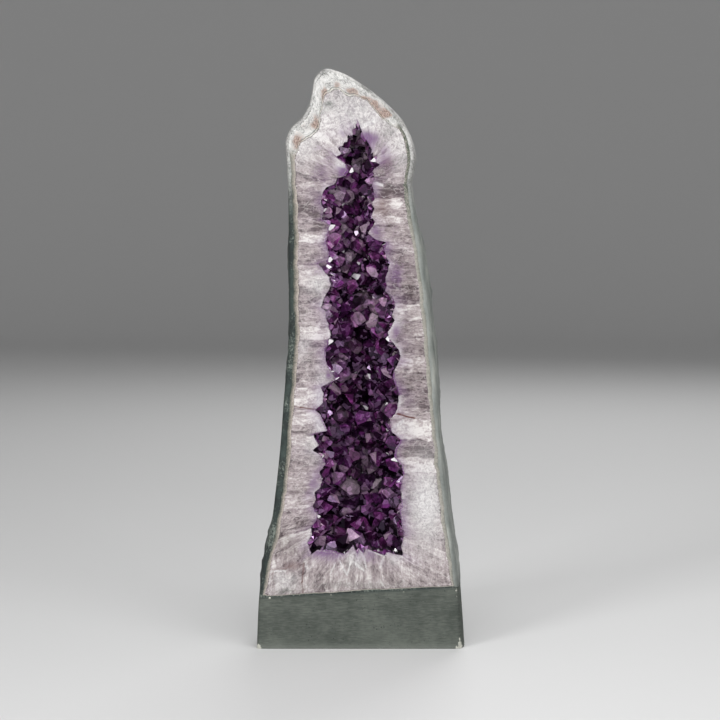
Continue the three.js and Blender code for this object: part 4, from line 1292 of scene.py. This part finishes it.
class Druse:
    """Crystals gathered into one mesh, with a number for each corner and each face."""

    def __init__(self, seed):
        self.random = np.random.default_rng(seed)
        self.points, self.faces, self.growth = [], [], []
        self.facet, self.tone, self.glint = [], [], []
        self.middles, self.facing, self.compact = [], [], []
        self.count = 0

    def grow(self, root, axis, radius, height, sunk, pale=0.0):
        """One more crystal. A pale one keeps its root's colour further up towards its tip."""
        made = quartz_point(self.random, root, axis, radius, height, sunk)
        tone = self.random.random()
        if made is None:
            return
        corners, faces, along, sawn, facing = made
        if (np.linalg.norm(facing[sawn], axis=1) > LARGEST_SAWN).any():
            return
        self.points.append(corners)
        self.faces.extend([(f + self.count).tolist() for f in faces])
        self.count += len(corners)
        self.growth.append(along * (1 - 0.75 * pale))
        # Painted light and shade: a random number for each face sets how dark it is drawn, pushed darker or
        # brighter by SHADES; the saw's faces take a middle value.
        darker = (1 - 0.7 * pale) * 2 ** (1.2 * shade_at(root[0], root[2]))
        self.facet.extend(np.where(sawn, 0.55, self.random.random(len(faces)) ** darker))
        self.tone.extend([tone] * len(faces))
        # Painted glints: some small, compact faces are coloured white at random.
        caught = self.random.random(len(faces)) < GLINT_CHANCE
        middles = [corners[f].mean(axis=0) for f in faces]
        reach = [np.linalg.norm(corners[f] - m, axis=1).max() for f, m in zip(faces, middles)]
        area = np.linalg.norm(facing, axis=1)
        compact = area > 0.9 * np.square(reach)
        self.glint.extend(caught & compact & (area < GLINT_LARGEST) & ~sawn)
        self.compact.extend(compact & ~sawn)
        self.middles.extend(middles)
        self.facing.extend(facing)

    def catch_light(self, places):
        """Whitens, near each place on the sawn face, the foremost face of about the size named: a painted
        glint.
        """
        middles, facing = np.array(self.middles), np.array(self.facing)
        area = np.linalg.norm(facing, axis=1)
        turned_away = (facing[:, 1] > -0.35 * area) | ~np.array(self.compact)
        for x, z, least in places:
            apart = np.hypot(middles[:, 0] - x, middles[:, 2] - z)
            unfit = turned_away | (area < least) | (area > max(3 * least, 30)) | (apart > 6.5)
            self.glint[np.argmin(middles[:, 1] + 1.8 * apart + 1000 * unfit)] = True

    def finish(self, name, material, nodes):
        values = {
            "growth": np.concatenate(self.growth),
            "facet": self.facet,
            "tone": self.tone,
            "glint": self.glint,
        }
        points = np.vstack(self.points)
        piece(name, points, self.faces, [material], nodes, values=values, flat=True)


def loop_at(loop, u):
    """A loop's rows at places from 0 to 1 round it."""
    wrapped = np.vstack([loop, loop[:1]])
    at = (u % 1) * len(loop)
    return np.stack([np.interp(at, np.arange(len(wrapped)), column) for column in wrapped.T], axis=1)


def mouth_wall_at(u, share):
    """Places on the cavity's wall, and the way from the wall into the cavity there."""
    tiny = 1e-3
    here, beside, before = [
        cup(loop_at(mouth_rim, u + du), mouth_depth, (share - ds)[:, None])[:, 0]
        for du, ds in ((0, 0), (tiny, 0), (0, tiny))
    ]
    inward = np.cross(beside - here, before - here)
    inward /= np.linalg.norm(inward, axis=1, keepdims=True)
    middle_z = np.clip(here[:, 2], 140, 500)
    heart = np.stack([spine_x(middle_z), front_y(middle_z) + 20, middle_z], axis=1)
    facing = np.einsum("ij,ij->i", inward, heart - here)
    return here, inward * np.sign(facing)[:, None]


def spaced(places, radii, overlap):
    """Which of some places to keep, taken in order, so that no two stand closer than they may."""
    kept = []
    for i in range(len(places)):
        apart = np.linalg.norm(places[kept] - places[i], axis=1)
        if (apart > overlap * (radii[kept] + radii[i])).all():
            kept.append(i)
    return np.array(kept)


edge_rim = mouth_rim.copy()
edge_rim[:, :2] = rock_rim[:, :2] + spoke * edge[:, None]


def rim_points(druse):
    """Points that the saw went through: they show violet past the ends of the quartz columns."""
    at = 0.0
    while at < mouth_run[-1]:
        radius = druse.random.uniform(3.2, 6.5)
        u = np.interp(at + radius, mouth_run, np.arange(RIM_COUNT + 1)) / RIM_COUNT
        here, mouth = loop_at(edge_rim, np.array([u]))[0], loop_at(mouth_rim, np.array([u]))[0]
        rock = loop_at(rock_rim, np.array([u]))[0]
        inward = (mouth[:2] - rock[:2]) / np.linalg.norm(mouth[:2] - rock[:2])
        x, z = here[:2] + inward * druse.random.uniform(-4, 1)
        root = np.array([x, front_y(z) + druse.random.uniform(1, 7), z])
        axis = np.array([inward[0], -0.1, inward[1]]) + druse.random.normal(0, 0.22, 3)
        height = radius * druse.random.uniform(1.2, 1.9)
        druse.grow(root, axis, radius, height, 6, pale=druse.random.random() ** 3)
        at += 1.5 * radius


def lining_points(druse, sizes, overlap):
    """The points that line the cavity, big ones placed first and small ones in the gaps."""
    random = druse.random
    candidates = sum(count for _, _, count in sizes)
    share = random.uniform(0.02, 0.995, candidates)
    spots, inward = mouth_wall_at(random.random(candidates), share)
    radii = np.concatenate([random.uniform(low, high, count) for low, high, count in sizes])
    radii *= np.interp(spots[:, 2], [100, 330, 560], [1.0, 0.95, 0.75])
    back = spots[:, 1] - front_y(spots[:, 2])
    spots, inward, radii = [a[(spots[:, 2] > 116) | (back > 34)] for a in (spots, inward, radii)]
    for i in spaced(spots, radii, overlap):
        axis = inward[i] + random.normal(0, 0.33, 3) + np.array([0, -0.2, 0.05])
        height = radii[i] * random.uniform(1.2, 2.1)
        root = spots[i] + 0.35 * radii[i] * inward[i]
        pale = random.random() ** 5 + 0.7 * ease(spots[i, 2], 508, 540)
        druse.grow(root, axis, radii[i], height, 4 + 1.2 * radii[i], pale=min(pale, 1))


druse = Druse(5)
rim_points(druse)
# Least and largest radius, and how many are tried.
POINT_SIZES = [(8.0, 11.5, 700), (5.0, 7.5, 1500), (3.2, 5.0, 3500), (2.0, 3.2, 4500)]
lining_points(druse, POINT_SIZES, overlap=0.7)
# Faces painted white as glints: left to right, height, and least area in mm2.
LIT_FACES = [
    (13.6, 514, 14), (-3.4, 501, 8), (-9, 503, 5), (4, 485, 13), (-34.3, 462, 13), (-37, 457, 6),
    (-18, 444, 15), (-6.3, 440, 8), (-2.5, 443, 8), (-15.8, 465, 6), (-28, 407.5, 14),
    (-27, 400, 7), (-14.8, 415, 5), (4, 418, 5), (-4.4, 393.5, 12), (3.2, 391.5, 12),
    (-9, 401, 5), (30.7, 357.4, 7), (15.5, 352.7, 8), (28.8, 327, 12), (-7.2, 317.6, 8),
    (-14.8, 310, 8), (-21.6, 283.6, 7), (-0.4, 283.6, 6), (6.6, 278, 7), (-6.4, 262, 6),
    (24, 250.5, 7), (8.8, 246.7, 9), (-20.5, 221.8, 5), (14.7, 204.5, 6), (32, 193.6, 6),
    (6.6, 175.2, 14), (25, 184, 7), (0.8, 172.5, 8), (-19.6, 123.7, 5), (-22, 340, 6),
]
druse.catch_light(LIT_FACES)
druse.finish("amethyst_druse", AMETHYST, AMETHYST_NODES)

# The clear points along the floor's front: where each stands, its radius and its height.
CLEAR_POINTS = [
    (-9.5, 9, 29), (-0.5, 6.5, 25), (12, 7, 22), (20, 6.5, 19), (36, 9, 25), (28, 6, 18),
    (-24, 7, 20), (-38, 8, 24),
]
clear = Druse(6)
for x, radius, height in CLEAR_POINTS:
    root = np.array([x, front_y(86) + clear.random.uniform(3.5, 7), 86])
    axis = np.array([clear.random.normal(0, 0.1), -0.03, 1.0])
    clear.grow(root, axis, radius, height, 8, pale=1.0)
for x in np.linspace(-48, 44, 16):
    root = np.array([x, front_y(90) + clear.random.uniform(12, 20), 90])
    axis = np.array([clear.random.normal(0, 0.25), -0.2, 1.0])
    clear.grow(root, axis, clear.random.uniform(2.5, 4.5), clear.random.uniform(9, 15), 8, pale=1.0)
clear.finish("clear_points", CLEAR, CLEAR_NODES)

# ---- The studio ----

FLOOR_OUT, BOWL, BOWL_TOP = 4.5, 2.0, 5.5


def studio():
    """A round pale floor that curves up into a wall: a profile turned about Z."""
    arc = np.linspace(0, np.pi / 2, 24)
    r = np.r_[0.001, np.linspace(0.4, FLOOR_OUT, 12), FLOOR_OUT + BOWL * np.sin(arc[1:]), FLOOR_OUT + BOWL]
    z = np.r_[0, np.zeros(12), BOWL * (1 - np.cos(arc[1:])), BOWL_TOP]
    turn = np.linspace(0, 2 * np.pi, 96, endpoint=False)
    points = np.stack(
        [np.outer(np.cos(turn), r), np.outer(np.sin(turn), r), np.tile(z, (96, 1))], axis=-1
    ).reshape(-1, 3)
    mesh = bpy.data.meshes.new("studio_floor")
    mesh.from_pydata(points.tolist(), [], quads(96, len(r), closed=True).tolist())
    mesh.polygons.foreach_set("use_smooth", [True] * len(mesh.polygons))
    made, _, shader = new_material("studio_paper", Roughness=0.6)
    shader.inputs["Base Color"].default_value = (0.62, 0.62, 0.62, 1)
    mesh.materials.append(made)
    floor = bpy.data.objects.new("studio_floor", mesh)
    bpy.context.scene.collection.objects.link(floor)


def lamp(name, place, size, power, aim=(0, 0, 0.3)):
    data = bpy.data.lights.new(name, "AREA")
    data.shape = "RECTANGLE"
    data.size, data.size_y = size
    data.energy = power
    thing = bpy.data.objects.new(name, data)
    thing.location = place
    thing.rotation_euler = (Vector(aim) - Vector(place)).to_track_quat("-Z", "Y").to_euler()
    bpy.context.scene.collection.objects.link(thing)


studio()
lamp("key_light", (-1.6, -2.0, 1.7), (0.8, 1.0), 32)
lamp("fill_light", (1.8, -1.9, 0.9), (1.0, 1.2), 16)
lamp("top_light", (0.1, -0.5, 2.6), (1.2, 1.2), 24)
lamp("back_light", (0.6, 2.6, 2.0), (1.4, 1.4), 26)
# Small lamps in front, which glint in the facets: left to right, and height, at arm's length.
GLINTS = [
    (-1.5, 0.35), (-1.3, 1.15), (-0.9, 1.75), (-0.45, 1.2), (-0.2, 2.1), (0.35, 1.5), (0.6, 2.2),
    (0.95, 1.1), (1.3, 1.6), (1.5, 0.5), (0.7, 0.12), (-0.7, 0.12),
]
for number, (x, z) in enumerate(GLINTS):
    lamp(f"glint_{number}", (x, -2.2, z), (0.19, 0.21), 2.8)
world = bpy.data.worlds.new("studio_air")
world.use_nodes = True
world.node_tree.nodes["Background"].inputs[0].default_value = (1, 1, 1, 1)
world.node_tree.nodes["Background"].inputs[1].default_value = 0.25
bpy.context.scene.world = world
bpy.context.scene.view_settings.view_transform = "Standard"

ELEVATION = np.radians(4.5)
DISTANCE = 2.4
SEEN_HEIGHT = 0.76464  # the view's height at the geode, in metres
LOOK_AT = Vector((0.0005, -0.05, 0.3035))
camera_data = bpy.data.cameras.new("camera")
camera_data.sensor_width = 36
camera_data.lens = 36 * DISTANCE / SEEN_HEIGHT
camera = bpy.data.objects.new("camera", camera_data)
camera.location = LOOK_AT + DISTANCE * Vector((0, -np.cos(ELEVATION), np.sin(ELEVATION)))
camera.rotation_euler = (LOOK_AT - camera.location).to_track_quat("-Z", "Y").to_euler()
bpy.context.scene.collection.objects.link(camera)
bpy.context.scene.camera = camera
